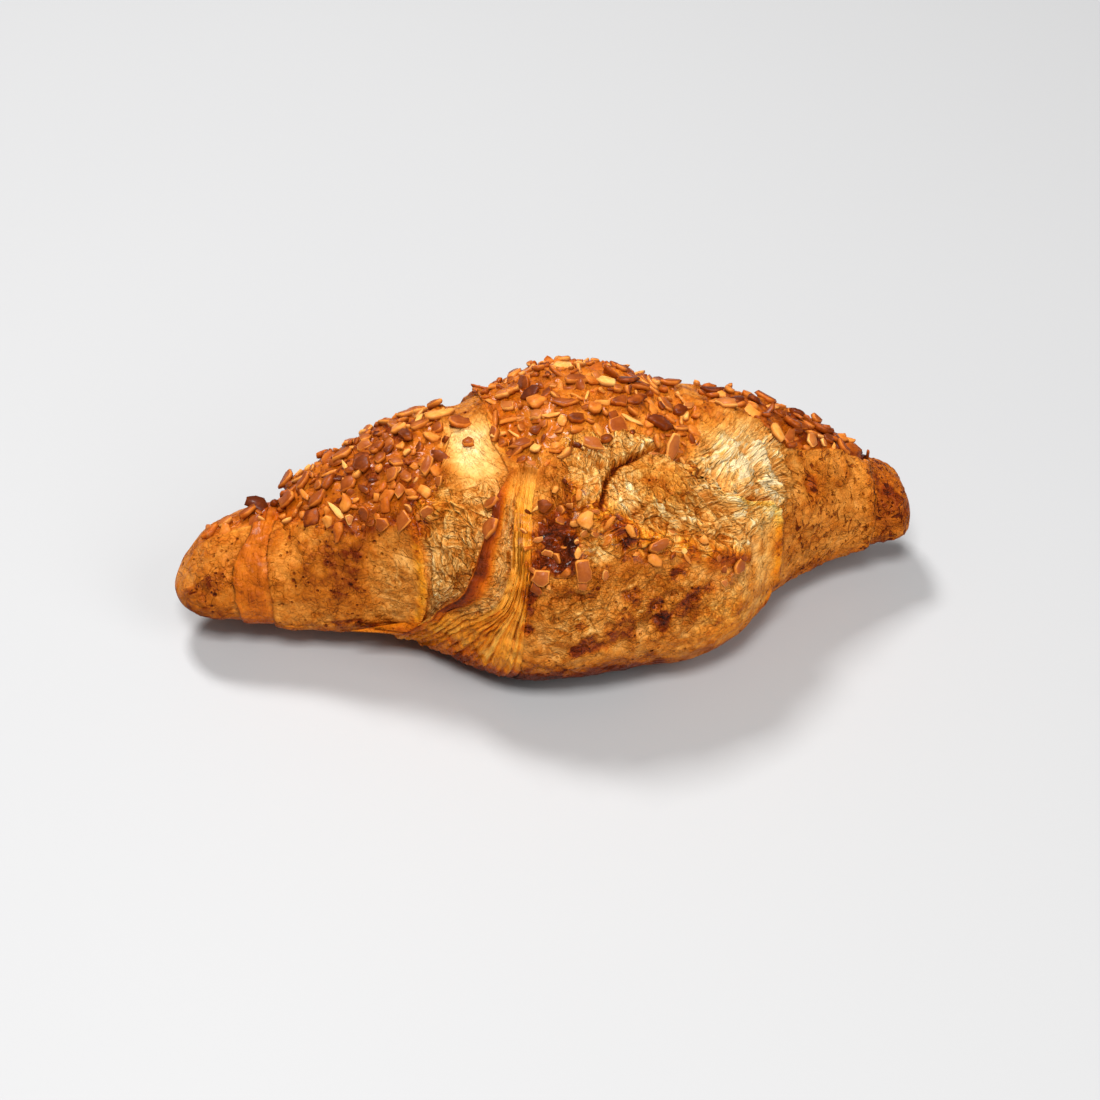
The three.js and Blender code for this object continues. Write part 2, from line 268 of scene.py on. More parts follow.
def lay_columns():
    """x of every column at every angle, and how far each column lies from the edges at its panel's
    two ends. The tips' panels crowd towards the tip, as the body is round there."""
    xs, from_left, from_right = [], [], []
    for panel, count in enumerate(PANEL_COLUMNS):
        left = LEFT_END + 0 * angles if panel == 0 else edge_x[edge_names[panel - 1]]
        right = RIGHT_END + 0 * angles if panel == len(EDGES) else edge_x[edge_names[panel]]
        share = np.linspace(0, 1, count + 1)
        if panel == 0:
            share = share**2
        if panel == len(EDGES):
            share = 1 - (1 - share) ** 2
        x = left[:, None] + (right - left)[:, None] * share[None, :]
        xs.append(x)
        from_left.append(x - left[:, None])
        from_right.append(right[:, None] - x)
    return np.hstack(xs), from_left, from_right


X, from_left, from_right = lay_columns()
D = np.broadcast_to(angles[:, None], X.shape)
body = outline(X, D)
print("crust grid:", X.shape[0], "rows by", X.shape[1], "columns")

# %% [markdown]
# The direction "out of the crust" comes from the plain body, before any detail: two neighbouring
# steps along the grid lie in the surface, and their cross product stands on it. A length measured
# round the body, from the front, lets patterns keep their size on fat and thin parts alike.

# %% Directions and lengths on the body
def around_roll(array):
    """Central difference between neighbouring rows, where the last row meets the first."""
    return np.roll(array, -1, 0) - np.roll(array, 1, 0)


ahead = np.clip(X + 0.5, LEFT_END + 0.4, RIGHT_END - 0.1)
behind_x = np.clip(X - 0.5, LEFT_END + 0.1, RIGHT_END - 0.4)
along_step = outline(ahead, D) - outline(behind_x, D)
round_step = outline(X, D + 1) - outline(X, D - 1)
outward = np.cross(along_step, round_step)
outward /= np.maximum(np.linalg.norm(outward, axis=-1, keepdims=True), 1e-9)
outward[:, 0] = [-1, 0, 0]
outward[:, -1] = [1, 0, 0]
arc = np.cumsum(np.linalg.norm(np.diff(body, axis=0, append=body[:1]), axis=-1), 0)
arc = np.vstack([0 * arc[:1], arc[:-1]])
arc -= arc[np.argmin(np.abs(angles))]
print("outward points up on top:", outward[np.argmin(np.abs(angles - 90)), 150].round(2))


# %% [markdown]
# Everything that isn't the same all over needs a place on the body. A place is a mask: a number
# from 0 to 1 for every point of the grid, made of soft steps, soft ovals or a distance to a line.

# %% Masks that place features on the body
def soft_step(value, low, high):
    """0 below low, 1 above high, and a smooth rise between."""
    t = np.clip((value - low) / (high - low), 0, 1)
    return t * t * (3 - 2 * t)


def between(value, low, high, soft):
    """1 between low and high, fading over "soft" to both sides."""
    return soft_step(value, low - soft, low + soft) * (1 - soft_step(value, high - soft, high + soft))


def unit(value):
    """A value kept between 0 and 1."""
    return np.clip(value, 0, 1)


def bell(distance, width):
    """1 at the line itself, and exp(-(distance / width)^2) away from it."""
    return np.exp(-((distance / width) ** 2))


def unevenness(size, seed, octaves=3):
    """Rough noise over the body, from about -0.5 to 0.5."""
    return rough_noise(body, size, seed, octaves) - 0.5


def patch(x, degrees, reach_x, reach_degrees, power=2):
    """A soft oval patch round a place on the body: 1 in the middle, falling off as a bell does."""
    oval = (np.abs(X - x) / reach_x) ** power + (np.abs(D - degrees) / reach_degrees) ** power
    return np.exp(-oval)


def patches(rows):
    """Sum of soft oval patches. Each row is a strength and then what patch takes."""
    return sum(strength * patch(*place) for strength, *place in rows)


def line_distance(path):
    """Distance in mm from every point of the crust to a polyline of [x, angle] points laid on the
    body, and the share of the way along the polyline."""
    path = np.asarray(path, float)
    points = outline(path[:, 0], path[:, 1])
    best = np.full(X.shape, 1e9)
    along = np.zeros(X.shape)
    for i, (a, b) in enumerate(zip(points[:-1], points[1:])):
        t = np.clip(((body - a) @ (b - a)) / ((b - a) @ (b - a)), 0, 1)
        distance = np.linalg.norm(body - (a + t[..., None] * (b - a)), axis=-1)
        along = np.where(distance < best, (i + t) / (len(points) - 1), along)
        best = np.minimum(best, distance)
    return best, along


# %% [markdown]
# ## Where the almonds go
# The baker brushed the top with egg and glaze and pressed chopped almonds on it. They cover the
# ridge of both horns and the crown, and a band across the front of the belly. This cover is a
# number from 0 to 1 over the crust. It steers the almonds, the glaze and the toasting below.

# %% Almond cover
# Lower borders of the topping, as [x, angle], and its patches, as strength, x, angle and reaches.
LEFT_TIP_BORDER = [[-90, 96], [-68, 93]]
LEFT_HORN_BORDER = [
    [-70, 96], [-66, 88], [-60, 64], [-53, 48], [-48, 40], [-35, 40], [-30, 52], [-26, 78], [-22, 92]]
CROWN_BORDER = [[-14, 82], [-10, 72], [-2, 65], [8, 65], [14, 71], [22, 73], [30, 69], [36, 76], [40, 95]]
RIGHT_HORN_BORDER = [[43, 100], [50, 99], [56, 84], [60, 70], [68, 70], [76, 82], [86, 88]]
TOPPED_PATCHES = [
    [0.95, -3, 38, 7.5, 17, 4], [0.65, 10, 37, 9, 7], [0.6, 25, 31, 11, 6, 4], [0.8, 39, 20, 4, 6, 4],
    [0.3, -16, 50, 3, 9], [0.2, 6, 22, 8, 8], [0.3, -32, 44, 3, 5], [0.9, 29, 70, 6, 3.5, 4]]
NUT_BACK = (128, 142)  # angles over which the almonds thin out at the back

behind = 1 - soft_step(D, *NUT_BACK)
ragged = 7 * unevenness(6, 3)


def topped(border, left, right):
    """Cover of a stretch of the ridge: above its lower border, between two x values."""
    above = soft_step(D + ragged - curve(border, X), -2, 3)
    return above * between(X + ragged / 2, left, right, 1.2) * behind


cover = np.max([
    topped(LEFT_HORN_BORDER, -67, -24.5),
    topped(LEFT_TIP_BORDER, -86, -69) * (1 - soft_step(D, 112, 124)),
    topped(CROWN_BORDER, -13, 38),
    topped(RIGHT_HORN_BORDER, 43, 86) * (1 - soft_step(D, 118, 132)),
    *(strength * patch(*place) for strength, *place in TOPPED_PATCHES),
], axis=0)
print("crust under almonds:", round(float((cover > 0.5).mean()), 3))

# %% [markdown]
# ## The relief of the crust
# Height above the plain body is a sum of parts, as a baker would name them: the steps of the wraps,
# the layered fan where the belly's dough was torn open by rising, the fold under the crown, the
# bulge beside it, and the small bubbles and wrinkles of the skin.

# %% Steps at the edges of the wraps
def edge_relief():
    """Height and sideways shift, panel by panel. By a raised edge the height is
    rise * exp(-distance / fade), rounded off at the rim, and the rim is pushed over the edge. By a
    sunk edge it is -groove * exp(-distance / SINK_FADE), and the last column is tucked under."""
    heights, shifts = [], []
    for panel in range(len(PANEL_COLUMNS)):
        height = np.zeros_like(from_left[panel])
        shift = np.zeros_like(from_left[panel])
        ends = [(panel - 1, from_left[panel], 1), (panel, from_right[panel], -1)]
        for index, distance, inward in ends:
            if not 0 <= index < len(EDGES):
                continue
            edge = EDGES[edge_names[index]]
            strength = edge_strength[edge_names[index]][:, None]
            if edge["towards"] == inward:
                rim = np.sqrt(1 - np.clip(1 - distance / LIP_ROUND, 0, 1) ** 2)
                height += edge["rise"] * strength * np.exp(-distance / edge["fade"]) * (0.55 + 0.45 * rim)
                shift -= inward * edge["over"] * strength * np.exp(-distance / 0.8)
            else:
                height -= edge["groove"] * strength * np.exp(-distance / SINK_FADE)
                shift -= inward * TUCK * strength * np.exp(-distance / 0.5)
        heights.append(height)
        shifts.append(shift)
    return np.hstack(heights), np.hstack(shifts)


step_height, step_shift = edge_relief()
print("wraps step up by", round(float(step_height.max()), 2), "mm at most")

# %% [markdown]
# The fan is the cut side of many thin layers. Between its two ridges and to their right the layers
# show as fine lines that all run from the apex down to the lower left. A coordinate that is 0 at
# one edge and 1 at the next turns such lines into a simple wave.

# %% The layered fan
left_ridge = edge_x["fan_left"][:, None]
middle_ridge = edge_x["fan_middle"][:, None]
right_end = edge_x["fan_right"][:, None]
q_left = (X - left_ridge) / (middle_ridge - left_ridge)
q_right = (X - middle_ridge) / (right_end - middle_ridge)
fan_low = 1 - soft_step(D, 58, 66)
in_left = between(q_left, 0.0, 1.0, 0.02) * fan_low
in_right = between(q_right, 0.0, 1.0, 0.06) * fan_low
bend = rough_noise(np.stack([X, arc / 5, 0 * X], -1), 4, 11) - 0.5
LEFT_LAYERS, RIGHT_LAYERS = 5, 9


def layers(share, count, seed):
    """Edges of thin layers: each rises slowly and drops sharply, with its own strength. The second result is
    1 in the crack below each drop, where the colour gets painted shade, and the third is each layer's own
    tone."""
    place = share * count + 0.9 * bend
    saw = place - np.floor(place)
    layer = np.stack([np.floor(place), 0 * place, 0 * place], -1).astype(np.int64)
    strength = lattice(layer, seed)
    height = (saw**1.4 - 0.5) * (0.6 + 0.8 * strength)
    return height, bell(saw, 0.2) * (0.4 + strength), lattice(layer, seed + 9) - 0.5


spread = np.clip((right_end - middle_ridge) / 9, 0.3, 1.1)
left_layers, left_cracks, left_tones = layers(q_left, LEFT_LAYERS, 5)
right_layers, right_cracks, right_tones = layers(q_right, RIGHT_LAYERS, 6)
groove_between = in_left * between(q_left, 0.3, 0.76, 0.07) * between(D, 2, 58, 8)
layered_from = 0.5 - 0.6 * (1 - soft_step(D, 2, 26))  # low on the fan the whole left part is layered
left_share = soft_step(q_left, layered_from - 0.15, layered_from)
layer_height = 0.9 * in_left * left_layers * left_share
layer_height += 1.4 * in_right * right_layers * spread
layer_height -= 1.5 * groove_between
broken = soft_step(rough_noise(np.stack([X, arc / 3, 0 * X], -1), 2.4, 13), 0.3, 0.55)
# The cracks carry painted shade: the colour darkens in them, and the relief sinks them.
shaded_crack = (in_right * right_cracks + in_left * left_cracks * left_share) * broken
layer_tone = in_right * right_tones + in_left * left_tones
print("layers from", round(float(layer_height.min()), 2), "to", round(float(layer_height.max()), 2), "mm")

# %% [markdown]
# Near its end the left horn has a smooth band of dough, stretched tight round it. Noise that is
# squeezed along the body and drawn out round it gives the band its fine lines.

# %% The smooth band on the left horn
band = between(X, edge_x["left_tip"][:, None], edge_x["left_band"][:, None], 0.4)
striae = rough_noise(np.stack([X * 2.2, arc / 9, 0 * X], -1), 1.5, 21)
band_height = 0.22 * band * (striae - 0.5)
print("smooth band on", round(float((band > 0.5).mean()), 3), "of the grid")

# %% [markdown]
# Under the crown the dough folded in on itself. The fold is a line on the body with a deep, narrow
# groove. Above it the crown swells out, and below it lies a rough, browner bulge.

# %% The fold under the crown and the bulge
FOLD = [[7, 41], [8.5, 48], [10.5, 55], [14, 60.5], [18, 63], [21.5, 66.5], [26, 67.5], [31, 67], [35, 64]]
FOLD_CREST = [[-20, 90], [5, 56], [10, 58], [16, 62], [22, 66], [30, 67], [36, 66], [60, 90]]
SWELLINGS = [
    [1.2, 24, 51, 8, 12, 3], [1.1, 4, 55, 7, 9], [0.5, 14, 45, 5, 9],
    [1.6, 41, 33, 9, 9], [-1.0, 41, 60, 4, 8], [-1.0, 50, 53, 4.5, 9]]
fold_distance, fold_along = line_distance(FOLD)
fold_strength = between(fold_along, 0.08, 0.92, 0.1)
above_fold = soft_step(D - curve(FOLD_CREST, X), 0, 2)
# Painted shade: a dark line along the fold's groove, added to the bake level.
fold_shade = fold_strength * bell(fold_distance, 0.6)
fold_height = -2.4 * fold_strength * bell(fold_distance, 0.7)
ragged_lip = 0.5 + 1.2 * rough_noise(body, 4, 15)
crown_lip = fold_strength * above_fold * np.exp(-fold_distance / 4) * soft_step(X, 10, 20)
fold_height += 2.3 * ragged_lip * crown_lip
bulge_height = patches(SWELLINGS)

# More folds, each with the path, depth (negative for a crest) and width in mm.
FOLDS = [
    ([[-35, 46], [-31, 51], [-27, 54.5], [-23, 54]], -1.0, 0.5),
    ([[30, 60], [35, 55], [41, 50], [45, 44]], -1.0, 1.6),
    ([[28, 50], [33, 45], [37, 38], [40, 30]], 1.1, 1.1),
    ([[36, 47], [39, 38], [43, 30], [45, 22]], 1.1, 0.8),
    ([[40, 50], [43, 42], [47, 34], [49, 24]], -1.0, 0.8),
    ([[26, 44], [30, 41], [33, 34], [38, 27]], -0.8, 0.9),
    ([[31, 56], [36, 50], [39, 45], [43, 36]], 1.1, 0.7),
    ([[44, 36], [46, 28], [47, 18], [45, 6]], 0.6, 1.3),
    ([[18, 42], [24, 38], [30, 36], [36, 30]], 1.0, 1.1),
    ([[12, 55], [15, 47], [17, 40]], 1.0, 0.9),
    ([[-66, 76], [-64, 62], [-63, 45]], 0.4, 0.9),
    ([[-13.5, 104], [-12, 92], [-10.5, 82], [-11, 74]], 1.6, 0.9),
    ([[36, 92], [37, 80], [40, 68], [45, 58]], 0.9, 0.8),
    ([[40, 96], [41.5, 82], [44.5, 70], [50, 58]], -0.9, 0.8),
    ([[43, 96], [45.5, 82], [49, 68], [53, 54]], 0.9, 0.8),
    ([[47, 96], [49, 80], [52.5, 66], [57, 48]], -0.8, 0.9),
    ([[51, 90], [53, 76], [57, 60], [60, 40]], 0.9, 0.9),
    ([[61, 66], [62, 40], [61.5, 10], [61, -20]], 0.6, 1.0),
    ([[-92, 70], [-88, 40], [-86, 10]], 0.8, 1.2),
    ([[-90, 20], [-84, 35], [-82, 60]], 0.6, 1.0),
    ([[-9, 8], [-7, -6], [-2, -20], [4, -34]], 0.8, 0.7),
    ([[-2, 12], [0, 2], [3, -8], [2, -22]], 0.5, 0.6),
]
small_folds = np.zeros_like(X)
for path, depth, width in FOLDS:
    distance, share = line_distance(path)
    small_folds -= depth * bell(distance, width) * between(share, 0.05, 0.95, 0.12)

# %% [markdown]
# ## Zones of the skin
# Each part of the crust baked in its own way. Stretched dough stayed pale and fibrous, the skin
# that faced the heat went golden and pitted, and sugar ran into a few spots and caramelised. Each
# zone is a mask, and the finish below is mixed from these masks.

# %% Pale, stretched dough
PALE_PATCHES = [
    [0.3, 5, 56, 9, 8, 4], [0.25, 14, 46, 4, 9, 4], [0.4, 47, 68, 9, 20, 3], [0.3, 56, 52, 6, 26, 4],
    [0.14, -18.5, 86, 5, 14, 4], [0.2, 8, 71, 16, 7, 4], [0.3, -2, 4, 8, 12], [0.2, -40, 10, 7, 22],
    [-0.55, 24, 56, 6, 7, 3], [-0.4, 30, 70, 6, 4, 4]]
strand_x = edge_x["left_strand"][:, None]
lip_x = edge_x["belly_lip"][:, None]
pale = 0.4 * between(X, strand_x + 0.6, left_ridge - 0.3, 0.8) * between(D, -14, 66, 8)
pale += 0.5 * between(X, 3, 58, 3) * between(D + 0.5 * ragged, 28, 73, 5)
pale = unit(pale + 0.3 * groove_between + patches(PALE_PATCHES))
cream_top = patch(-19, 84, 6, 16, 4)  # a smooth, cream-coloured patch by the crown
print("pale dough covers", round(float((pale > 0.2).mean()), 3), "of the grid")

# %% [markdown]
# The edges of the wraps baked unlike the dough beside them: the belly's lip has a thin orange rim
# and a paler strip behind it, and a bright strand runs down the left horn. The distance to an edge,
# turned into a narrow bell, marks such a line wherever the edge goes.

# %% Lines along the edges of the wraps
fan = unit(in_left + in_right)
lip_rows = between(D, -30, 46, 8)
lip_near = np.exp(-np.abs(X - lip_x) / 3) * (X < lip_x) * lip_rows
lip_rim = bell(X - lip_x + 0.9, 0.9) * between(D, -35, 52, 6)
# Painted shade on the sunk dough just past the lip.
shade_beyond_lip = np.exp(-np.abs(X - lip_x) / 3) * (X > lip_x) * lip_rows
strand_near = bell(X - strand_x + 1, 1.2) * between(D, -22, 50, 5)
ridge_near = np.exp(-np.abs(X - left_ridge) / 1.6) * (X > left_ridge) * between(D, -25, 66, 6)

# %% [markdown]
# Across the belly runs the torn end of the outer skin. It is a path laid on the body, and noise
# shifts its distance and breaks it up, so that it looks torn and not drawn.

# %% A torn, browned edge across the belly
TORN_EDGE = [[0, 54], [6, 45], [12, 38], [18, 35], [25, 33], [32, 30], [39, 26], [46, 21]]
torn_distance = line_distance(TORN_EDGE)[0] + 5 * unevenness(5, 19)
torn_edge = bell(torn_distance, 2.2) * soft_step(rough_noise(body, 4, 20), 0.32, 0.46)
torn_edge *= between(X, 1, 46, 2) * between(D, 16, 58, 3)

# %% [markdown]
# Sugar and butter pooled in a few places and burnt. Each spot is a soft oval, and the same noise
# frays all of them, because a sharp threshold on oval plus noise gives islands and ragged shores.

# %% Spots of caramel
# Caramel: x, angle, reach along x, reach in degrees, strength.
CARAMEL = [
    [-4, 34, 6.0, 10.5, 1.0], [-3, 45, 3.6, 6, 0.7], [12, 37, 4.8, 6, 0.8], [21, 2, 3.4, 5.0, 1.0],
    [20, 9, 2.2, 3.5, 0.9], [3, -4.5, 4.4, 5, 0.85], [1.5, 4, 2.2, 3, 0.6], [-11, 20, 1.7, 4, 0.85],
    [-11.5, 6, 2.2, 4, 0.8], [-11, 13, 1.4, 2.5, 0.5], [30, 13, 2.4, 4, 0.7], [34, 15, 2.0, 3, 0.6],
    [11, 2, 4.0, 6, 0.45], [8, -3, 3.0, 4, 0.4], [-58, 55, 3.0, 6, 0.35],
    [-54, -16, 5.0, 5, 0.5], [16, 30, 4.0, 5, 0.5], [26, 22, 3.0, 4, 0.5], [-26, -14, 6.0, 3, 0.3],
    [67, 42, 2.4, 9, 0.4], [-43, 45, 5.0, 4, 0.3], [90, 60, 3.0, 14, 0.35], [-20, 30, 1.0, 12, 0.2],
    [14, 12, 3.0, 4, 0.5], [27, 6, 3.0, 4, 0.5], [33, 62, 2.2, 4, 0.7], [-33.5, 40, 2.0, 5, 0.6],
    [24, -8, 5.0, 4, 0.2], [46, 14, 2.0, 8, 0.3],
]
stain = 2.4 * unevenness(3, 17, 4)
caramel = np.zeros_like(X)
for x, degrees, reach_x, reach_degrees, strength in CARAMEL:
    caramel += strength * soft_step(patch(x, degrees, reach_x, reach_degrees) + 0.45 * stain, 0.32, 0.68)
caramel = unit(caramel)
print("caramel covers", round(float((caramel > 0.5).mean()), 3), "of the grid")

# %% [markdown]
# Three masks are left. Orange is dough soaked with butter, rough is the golden skin between the
# smooth parts, and pocked is where big bubbles burst on the belly.

# %% Buttery orange, rough and pocked skin
BUTTER_PATCHES = [
    [0.5, 40, 92, 6, 12], [0.7, 67, 40, 2.6, 12], [0.6, -30, 53, 5, 5], [0.5, -80, 88, 5, 9],
    [0.4, 88, 60, 6, 40], [0.4, 24, 54, 7, 8, 4], [0.5, 38, -4, 8, 14, 4], [0.5, -64, 80, 5, 20],
    [0.5, -9, 92, 5, 20]]
orange = 0.55 * band + 0.8 * fan * (1 - groove_between) + 0.9 * lip_near + 1.3 * strand_near
orange += 0.6 * ridge_near + 0.55 * soft_step(-D, 12, 34) + 0.4 * cover + patches(BUTTER_PATCHES)
orange = unit(orange + 0.7 * caramel + 0.8 * torn_edge + 0.9 * lip_rim)
rough_skin = unit(1 - 1.3 * pale - fan - 0.8 * band - 0.5 * cover - 0.8 * cream_top)
pocked = unit(patch(22, 10, 22, 14, 4) + patch(-2, 30, 8, 22, 4)) * (1 - fan)
print("rough skin covers", round(float((rough_skin > 0.5).mean()), 3), "of the grid")

# %% [markdown]
# The skin itself is never smooth. Cell noise gives blisters, pores, burst bubbles and plates that
# lean, like shards of a crisp shell. Each is scaled by the mask of the zone where it belongs.

# %% The small relief of the skin
blister, blister_number, _ = cell_noise(body, 2.6, 31)
pore, pore_number, _ = cell_noise(body, 2.1, 33)
crater, crater_number, _ = cell_noise(body, 4.2, 35)
shard = cell_noise(body + 1.2 * unevenness(3, 37)[..., None], 3.4, 36)[2]
fine_shard = cell_noise(body, 1.9, 38)[2]
big_shard = cell_noise(body + 3 * unevenness(5, 39)[..., None], 5.2, 43)[2]
right_horn = between(X, 60, 100, 3) * (1 - cover)
rough_bulge = patch(24, 53, 8, 11, 4)
flaked = unit(rough_skin + pale)
skin_height = 0.1 * rough_skin * (1 - unit(blister * 1.5)) * (blister_number > 0.35)
skin_height -= 0.6 * rough_skin * soft_step(0.34 - pore, 0, 0.2) * (pore_number > 0.55)
skin_height -= 1.5 * pocked * soft_step(0.42 - crater, 0, 0.25) * (crater_number > 0.5)
skin_height += 0.9 * pocked * unevenness(2.4, 55)
skin_height += 1.1 * unevenness(9, 51) + 0.8 * unevenness(3.4, 53)
skin_height += (0.3 + 1.1 * pocked) * flaked * shard
skin_height += (0.1 + 0.8 * unit(2 * pale) + 1.4 * rough_bulge) * flaked * fine_shard
skin_height += 2.8 * unit(2 * pale + 0.8 * rough_bulge) * big_shard
print("skin relief from", round(float(skin_height.min()), 2), "to", round(float(skin_height.max()), 2), "mm")

# %% [markdown]
# Stretched dough shows strands: crests of noise that is drawn out in the direction of the pull. The
# caramel sank in, the torn edge stands up, and the glaze made a web between the almonds.

# %% Strands, the torn edge and the glaze
stretched = np.stack([X * 1.9, arc / 2.6, 0 * X], -1)  # fibres that run round the body
slanted = np.stack([(X + 0.36 * arc) * 2.6, arc / 4, 0 * X], -1)  # strands that run down to the right
slant_zone = between(X, 36, 62, 3) * between(D, 38, 104, 6)
slant_crests = ridge_noise(slanted, 3.2, 69)
very_pale = unit(1.6 * pale)
skin_height += 0.95 * very_pale * (1 - slant_zone) * (ridge_noise(stretched, 2.2, 61) - 0.5)
skin_height += 1.9 * slant_zone * (slant_crests - 0.5)
skin_height += 0.8 * rough_bulge * (ridge_noise(body, 2.6, 63) - 0.5)
skin_height += 0.8 * right_horn * (ridge_noise(stretched, 1.7, 65) - 0.5)
skin_height -= 1.1 * caramel * soft_step(rough_noise(body, 1.8, 67), 0.42, 0.62)
skin_height += 1.5 * torn_edge
skin_height += cover * (2.1 * (ridge_noise(body, 3.2, 71) - 0.55) - 0.5)
skin_height -= 0.9 * soft_step(cover, 0.3, 0.9) * (D > 55)
height = step_height + layer_height + band_height + fold_height + bulge_height + small_folds + skin_height
LEFT_CALM, RIGHT_CALM = 4, 3  # mm from the tips over which the relief dies out
left_share_of_relief = soft_step(X, LEFT_END, LEFT_END + LEFT_CALM)
tips_share = left_share_of_relief * soft_step(-X, -RIGHT_END, RIGHT_CALM - RIGHT_END)
print("relief from", round(float(height.min()), 2), "to", round(float(height.max()), 2), "mm")


# %% [markdown]
# ## Placing the almond pieces
# The large pieces are the CAD solids: each one's place, size and turn is read from its corners, as
# the directions in which they spread most and least. The small nibs fill in between them. They are
# drawn from seeded random numbers, kept where the cover is high, and dropped where they would lie
# too close together.

# %% The crust before the almonds
def crust_points(relief):
    """Every grid point: the plain body, moved out by the relief and sideways by the lips, and kept
    on or above the table."""
    points = body + outward * (relief * tips_share)[..., None]
    points[..., 0] += step_shift
    points[..., 2] = np.maximum(points[..., 2], 0)
    return points


def surface_normals(points):
    """Cross product of the steps to the neighbours along and round the body."""
    along = np.gradient(points, axis=1)
    normal = np.cross(along, around_roll(points))
    length = np.linalg.norm(normal, axis=-1, keepdims=True)
    return np.where(length > 1e-6, normal / np.maximum(length, 1e-9), outward)


bare = crust_points(height)
shift = np.array([
    (pastry_low[0] + pastry_high[0]) / 2 / MM - (LEFT_END + RIGHT_END) / 2,
    (pastry_low[1] + pastry_high[1]) / 2 / MM - (body[..., 1].min() + body[..., 1].max()) / 2,
    pastry_low[2] / MM,
])
print("the crust's own origin lies at", shift.round(2), "mm in the frame")


# %% Large pieces, from the CAD solids
def read_solid(name):
    """Centre of a CAD almond, its sizes along three directions and those directions, which are the
    principal axes of its corners, all in the crust's own mm."""
    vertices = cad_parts[name].data.vertices
    corners = np.empty(len(vertices) * 3, np.float32)
    vertices.foreach_get("co", corners)
    corners = corners.reshape(-1, 3) / MM - shift
    centre = (corners.min(0) + corners.max(0)) / 2
    axes = np.linalg.svd(corners - corners.mean(0), full_matrices=False)[2]
    spans = np.ptp((corners - centre) @ axes.T, axis=0)
    return centre, spans, axes


solids = {name: read_solid(name) for name in almond_nodes}
centres = np.array([solid[0] for solid in solids.values()])
spans = np.array([solid[1] for solid in solids.values()])
print("large almonds measure", spans[:, 0].min().round(1), "to", spans[:, 0].max().round(1), "mm")


# %% Small nibs, scattered by the cover
NIBS = 430
LEAST_COVER = 0.12  # no nibs where the cover is lower
SHORTEST, LENGTH_RANGE = 2.6, 4.4  # mm
CLEARANCE = 0.7  # least distance between two pieces, in sums of their half lengths


def scatter(count, seed):
    """Grid places of the small nibs and their lengths. Candidates are drawn with a chance equal to
    cover times area, and a candidate is kept if it is clear of the ones kept before it."""
    random = np.random.default_rng(seed)
    area = np.linalg.norm(np.cross(np.gradient(bare, axis=1), around_roll(bare) / 2), axis=-1)
    chance = (unit(cover - LEAST_COVER) * area).ravel()
    picks = random.choice(chance.size, size=count * 6, replace=False, p=chance / chance.sum())
    lengths = SHORTEST + LENGTH_RANGE * random.random(count * 6) ** 1.4
    kept, kept_reach = centres, spans[:, 1] / 2
    chosen = []
    for pick, length in zip(picks, lengths):
        place = bare.reshape(-1, 3)[pick]
        gap = np.linalg.norm(kept - place, axis=1)
        if (gap < CLEARANCE * (kept_reach + length / 2)).any():
            continue
        kept = np.vstack([kept, place])
        kept_reach = np.append(kept_reach, length / 2)
        chosen.append((pick, length))
        if len(chosen) == count:
            break
    return np.array([c[0] for c in chosen]), np.array([c[1] for c in chosen])


nib_places, nib_lengths = scatter(NIBS, 7)
print("small nibs placed:", len(nib_places))

# %% [markdown]
# Glaze creeps up round everything that lies in it. Each almond piece therefore lifts the crust
# near it a little, as a bell-shaped fillet. Then the crust is final, and the mesh can be written.

# %% Fillets of glaze round the almonds
def fillets(places, reaches, heights):
    """The highest of the pieces' bells, height * exp(-(distance / reach)^2), in batches to save
    memory."""
    highest = np.zeros(X.shape)
    for start in range(0, len(places), 24):
        near = slice(start, start + 24)
        distance = np.linalg.norm(bare[None] - places[near, None, None], axis=-1)
        bells = heights[near, None, None] * np.exp(-((distance / reaches[near, None, None]) ** 2))
        highest = np.maximum(highest, bells.max(0))
    return highest


nib_spots = bare.reshape(-1, 3)[nib_places]
fillet = fillets(
    np.vstack([centres, nib_spots]),
    np.concatenate([0.55 * spans[:, 0] + 0.4, 0.5 * nib_lengths + 0.5]),
    np.concatenate([0.8 + 0 * spans[:, 0], 0.35 + 0.08 * nib_lengths]))
crust = crust_points(height + 0.8 * fillet)
crust_normal = surface_normals(crust)
print("crust with fillets, highest point", crust[..., 2].max().round(2), "mm")

# %% [markdown]
# ## Colour of the bake
# What stands proud browns first and what lies in a hollow stays pale. The level of baking is therefore a base
# level for each zone, plus a share of how far a point stands above its neighbourhood, and it goes onto the
# mesh as an attribute from 0, raw cream, to 1, nearly black. On very pale dough that share turns round, which
# paints highlights on crests and shade in hollows, and a few more terms paint shade too, each marked where it
# is added.

# %% Level of baking
def blurred(array, passes=3, reach=4):
    """Repeated box average over the grid, joined round the body."""
    for _ in range(passes):
        array = sum(np.roll(array, k, 0) for k in range(-reach, reach + 1)) / (2 * reach + 1)
        padded = np.pad(array, ((0, 0), (reach, reach)), mode="edge")
        array = sum(padded[:, k : k + array.shape[1]] for k in range(2 * reach + 1)) / (2 * reach + 1)
    return array


